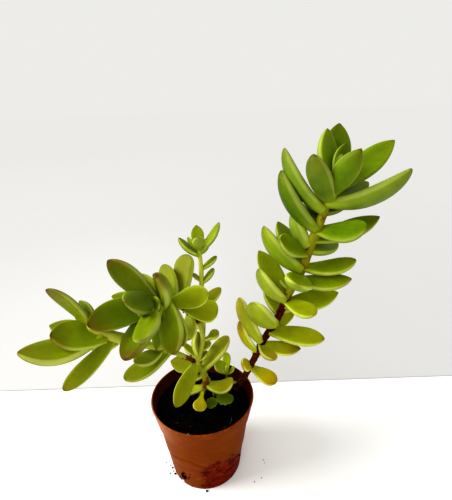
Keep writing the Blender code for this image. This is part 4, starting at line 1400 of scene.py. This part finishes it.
# Where lower leaves have dropped, as (mm along the stem, clock, length and width in mm).
TALL_SCARS = (
    (11, 20, 0.3, 1.0), (15, 160, 0.4, 1.2), (24, -20, 0.3, 1.1), (28.5, 170, 0.5, 1.3),
    (33, 150, 0.3, 1.2), (47, 160, 0.6, 1.4), (53, 170, 0.8, 1.5), (56, 150, 0.7, 1.3),
    (61, -20, 0.3, 1.1), (67, 100, 0.4, 1.2))
MAIN_SCARS = (
    (6, 20, 0.3, 1.1), (12.5, 20, 0.5, 1.4), (14, 150, 0.4, 1.2), (22, 200, 0.3, 1.0),
    (54, 30, 0.5, 1.2), (58, 200, 0.4, 1.1), (61, -30, 0.6, 1.3), (63, 240, 0.5, 1.2))
FAR_SCARS = ((3, 250, 0.5, 1.3), (6, 60, 0.6, 1.2), (8, 230, 0.4, 1.1), (11, 250, 0.4, 1.0))


def make_leaves(name, shoots, finish, node, seed):
    """Make all the leaves of one grown piece."""
    skin = Skin(*LEAF_PAINT)
    chance = np.random.default_rng(seed)
    for shoot in shoots:
        for leaf in shoot.leaves:
            luck = float(chance.uniform(0, 1))
            ripe = between(shoot.ripeness, leaf.station) + (luck - 0.5) * RIPE_LUCK
            deep = between(shoot.depth, leaf.station)
            deep += float(chance.uniform(-DEEP_LUCK, DEEP_LUCK))
            grow_leaf(skin, shoot.stem, leaf, limit(ripe, 0.0, 1.0), limit(deep, 0.0, 1.0), luck)
    skin.make(name, finish, node)


def make_stems(name, shoots, finish, node):
    """Make the stems of one grown piece."""
    skin = Skin(*STEM_PAINT)
    for seed, shoot in enumerate(shoots, 3):
        grow_stem(skin, shoot, seed)
    skin.make(name, finish, node)


def paper_finish(name, color):
    """Matt pale paper."""
    paper = Finish(name, Specular_IOR_Level=0.0)
    shade = paper.scale(linear(*color), 0.99)
    return paper.finish(paper.scale(shade, 0.99 + paper.grain(60.0, 2.0) * 0.02), 0.9)


def floor_finish(name, color):
    """Matt pale floor, a little brighter by a painted glow near the pot on the side that the window
    would light, and a little darker by painted shadow on its right.
    """
    floor = Finish(name, Specular_IOR_Level=0.0, Emission_Strength=1.0)
    away = floor.add(
        "ShaderNodeVectorMath", {"operation": "LENGTH"}, {"Vector": floor.place})["Value"]
    beside = floor.add("ShaderNodeSeparateXYZ", {}, (floor.place,))["X"] / away
    # Painted light: the floor glows a little near the pot on its left.
    glow = (1 - beside.rise(-0.6, 0.45)) * (
        (1 - away.rise(0.05, 0.55)) * 0.09 + (1 - away.rise(0.5, 2.0)) * 0.025)
    floor.feed(floor.shader.inputs["Emission Color"], floor.scale((1.0, 0.99, 0.97), glow))
    # Painted shadow: the floor is a little darker near the pot on its right.
    light = 0.99 - beside.rise(-0.1, 0.4) * (1 - away.rise(0.2, 0.9)) * 0.02
    shade = floor.scale(linear(*color), light)
    return floor.finish(floor.scale(shade, 0.99 + floor.grain(60.0, 2.0) * 0.02), 0.9)


def stage():
    """A pale sheet under the pot, on a pale floor, with a thin grey strip of painted shadow where
    the sheet ends.
    """
    for name, color, height, (low_x, high_x, low_y, high_y) in STAGE:
        bm = bmesh.new()
        corners = ((low_x, low_y), (high_x, low_y), (high_x, high_y), (low_x, high_y))
        top = [bm.verts.new((x, y, height)) for x, y in corners]
        bottom = [bm.verts.new((x, y, height - STAGE_THICKNESS)) for x, y in corners]
        bm.faces.new(top)
        bm.faces.new(list(reversed(bottom)))
        for k in range(4):
            after = (k + 1) % 4
            bm.faces.new((top[k], bottom[k], bottom[after], top[after]))
        mesh = to_mesh(bm, name)
        make_finish = floor_finish if name == "floor" else paper_finish
        mesh.materials.append(make_finish("pale_" + name, color))
        placed(name, mesh)


def fallen_crumbs():
    """A few crumbs of soil that lie on the sheet beside the pot."""
    chance = np.random.default_rng(41)
    skin = Skin()
    for x, y, size in FALLEN:
        crumb(skin, Vector((x, y, size * 0.3)), size, chance)
    mesh = skin.mesh("fallen_crumbs")
    mesh.materials.append(soil_finish("fallen_soil"))
    placed("fallen_crumbs", mesh)


def soft_light(name, place, power, lit):
    """A large soft light that faces the plant and falls only on what is in a collection."""
    data = bpy.data.lights.new(name, "AREA")
    data.shape = "DISK"
    data.size = LAMP_SIZE
    data.energy = power
    lamp = placed(name, data)
    lamp.location = place
    lamp.rotation_mode = "QUATERNION"
    lamp.rotation_quaternion = (PLANT_MIDDLE - Vector(place)).to_track_quat("-Z", "Y")
    lamp.visible_camera = False
    lamp.light_linking.receiver_collection = lit


def light_room():
    """Soft light from every side, stronger from the upper left on all but the floor and the painted
    shadow strip.
    """
    world = bpy.data.worlds.new("soft_room")
    world.use_nodes = True
    glow = world.node_tree.nodes["Background"].inputs
    glow["Color"].default_value = (1.0, 0.993, 0.97, 1.0)
    glow["Strength"].default_value = 0.605
    bpy.context.scene.world = world
    lit = bpy.data.collections.new("lit_by_windows")
    for item in bpy.context.scene.objects:
        if item.type == "MESH" and item.name not in ("floor", "edge_shadow_strip"):
            lit.objects.link(item)
    for name, place, power in LAMPS:
        soft_light(name, place, power, lit)
    bpy.context.scene.view_settings.view_transform = "Standard"
    bpy.context.scene.view_settings.look = "High Contrast"


def set_camera():
    """The camera at the photograph's viewpoint."""
    data = bpy.data.cameras.new("camera")
    data.lens = LENS
    data.sensor_width = 36.0
    data.clip_start = 0.005
    data.clip_end = 20.0
    camera = placed("camera", data)
    right = Vector((1, 0, 0))
    forward = Vector((0, math.cos(CAMERA_PITCH), -math.sin(CAMERA_PITCH)))
    up = right.cross(forward)
    level = right * math.cos(CAMERA_ROLL) + up * math.sin(CAMERA_ROLL)
    upright = up * math.cos(CAMERA_ROLL) - right * math.sin(CAMERA_ROLL)
    turn = Matrix((level, upright, -forward)).transposed()
    camera.matrix_world = Matrix.Translation(VIEWPOINT) @ turn.to_4x4()
    bpy.context.scene.camera = camera


set_camera()
stage()
fallen_crumbs()

tall = Shoot(
    Stem(TALL_ROUTE, TALL_THICK),
    TALL_LEAVES, TALL_RIPENESS, TALL_DEPTH, TALL_BARK, TALL_PALE)
main = Shoot(
    Stem(MAIN_ROUTE, MAIN_THICK),
    MAIN_LEAVES, MAIN_RIPENESS, MAIN_DEPTH, MAIN_BARK, MAIN_PALE)
far = Shoot(
    Stem(FAR_ROUTE, FAR_THICK, planted=False),
    FAR_LEAVES, FAR_RIPENESS, FAR_DEPTH, FAR_BARK, FAR_PALE)
thin = Shoot(
    Stem(THIN_ROUTE, THIN_THICK, planted=False),
    THIN_LEAVES, THIN_RIPENESS, THIN_DEPTH, THIN_BARK, THIN_PALE)
offset = Shoot(
    Stem(OFFSET_ROUTE, OFFSET_THICK, spacing=FINE_SPACING),
    OFFSET_LEAVES, OFFSET_RIPENESS, OFFSET_DEPTH, OFFSET_BARK, SPROUT_PALE)
seedling = Shoot(
    Stem(SEEDLING_ROUTE, SEEDLING_THICK, spacing=FINE_SPACING),
    SEEDLING_LEAVES, SEEDLING_RIPENESS, SEEDLING_DEPTH, SEEDLING_BARK, SPROUT_PALE)
forked = (main, far, thin)

plant_leaf = fleshy_leaf_skin(
    "fleshy_leaf", linear(112, 134, 5), linear(62, 90, 1), linear(180, 168, 16))
young_leaf = fleshy_leaf_skin(
    "young_leaf", linear(114, 140, 10), linear(84, 110, 6), linear(160, 158, 16))
scalloped_leaf = fleshy_leaf_skin(
    "scalloped_leaf", linear(90, 112, 12), linear(70, 92, 8), linear(112, 124, 16))
plant_stem = stem_skin("plant_stem", linear(122, 122, 14), linear(78, 18, 3))
young_stem = stem_skin("young_stem", linear(160, 172, 60), linear(120, 70, 30))

make_leaves("tall_stem_leaves", (tall,), plant_leaf, "tall_leafy_stem", 5)
make_leaves("forked_stem_leaves", forked, plant_leaf, "forked_leafy_stem", 6)
make_leaves("offset_leaves", (offset,), young_leaf, "offset_plantlet", 7)
make_leaves("seedling_leaves", (seedling,), scalloped_leaf, "scalloped_seedling", 8)
make_stems("tall_stem", (tall,), plant_stem, "tall_leafy_stem")
make_stems("forked_stems", forked, plant_stem, "forked_leafy_stem")
make_stems("offset_stem", (offset,), young_stem, "offset_plantlet")
make_stems("seedling_stem", (seedling,), young_stem, "scalloped_seedling")

moulded_pot()
potting_mix_bed()
scattered_crumbs()
soil_fibres()
clinging_crumbs()
rim_scrap()
withered_bases(((tall.stem, TALL_SCARS), (main.stem, MAIN_SCARS), (far.stem, FAR_SCARS)))
light_room()
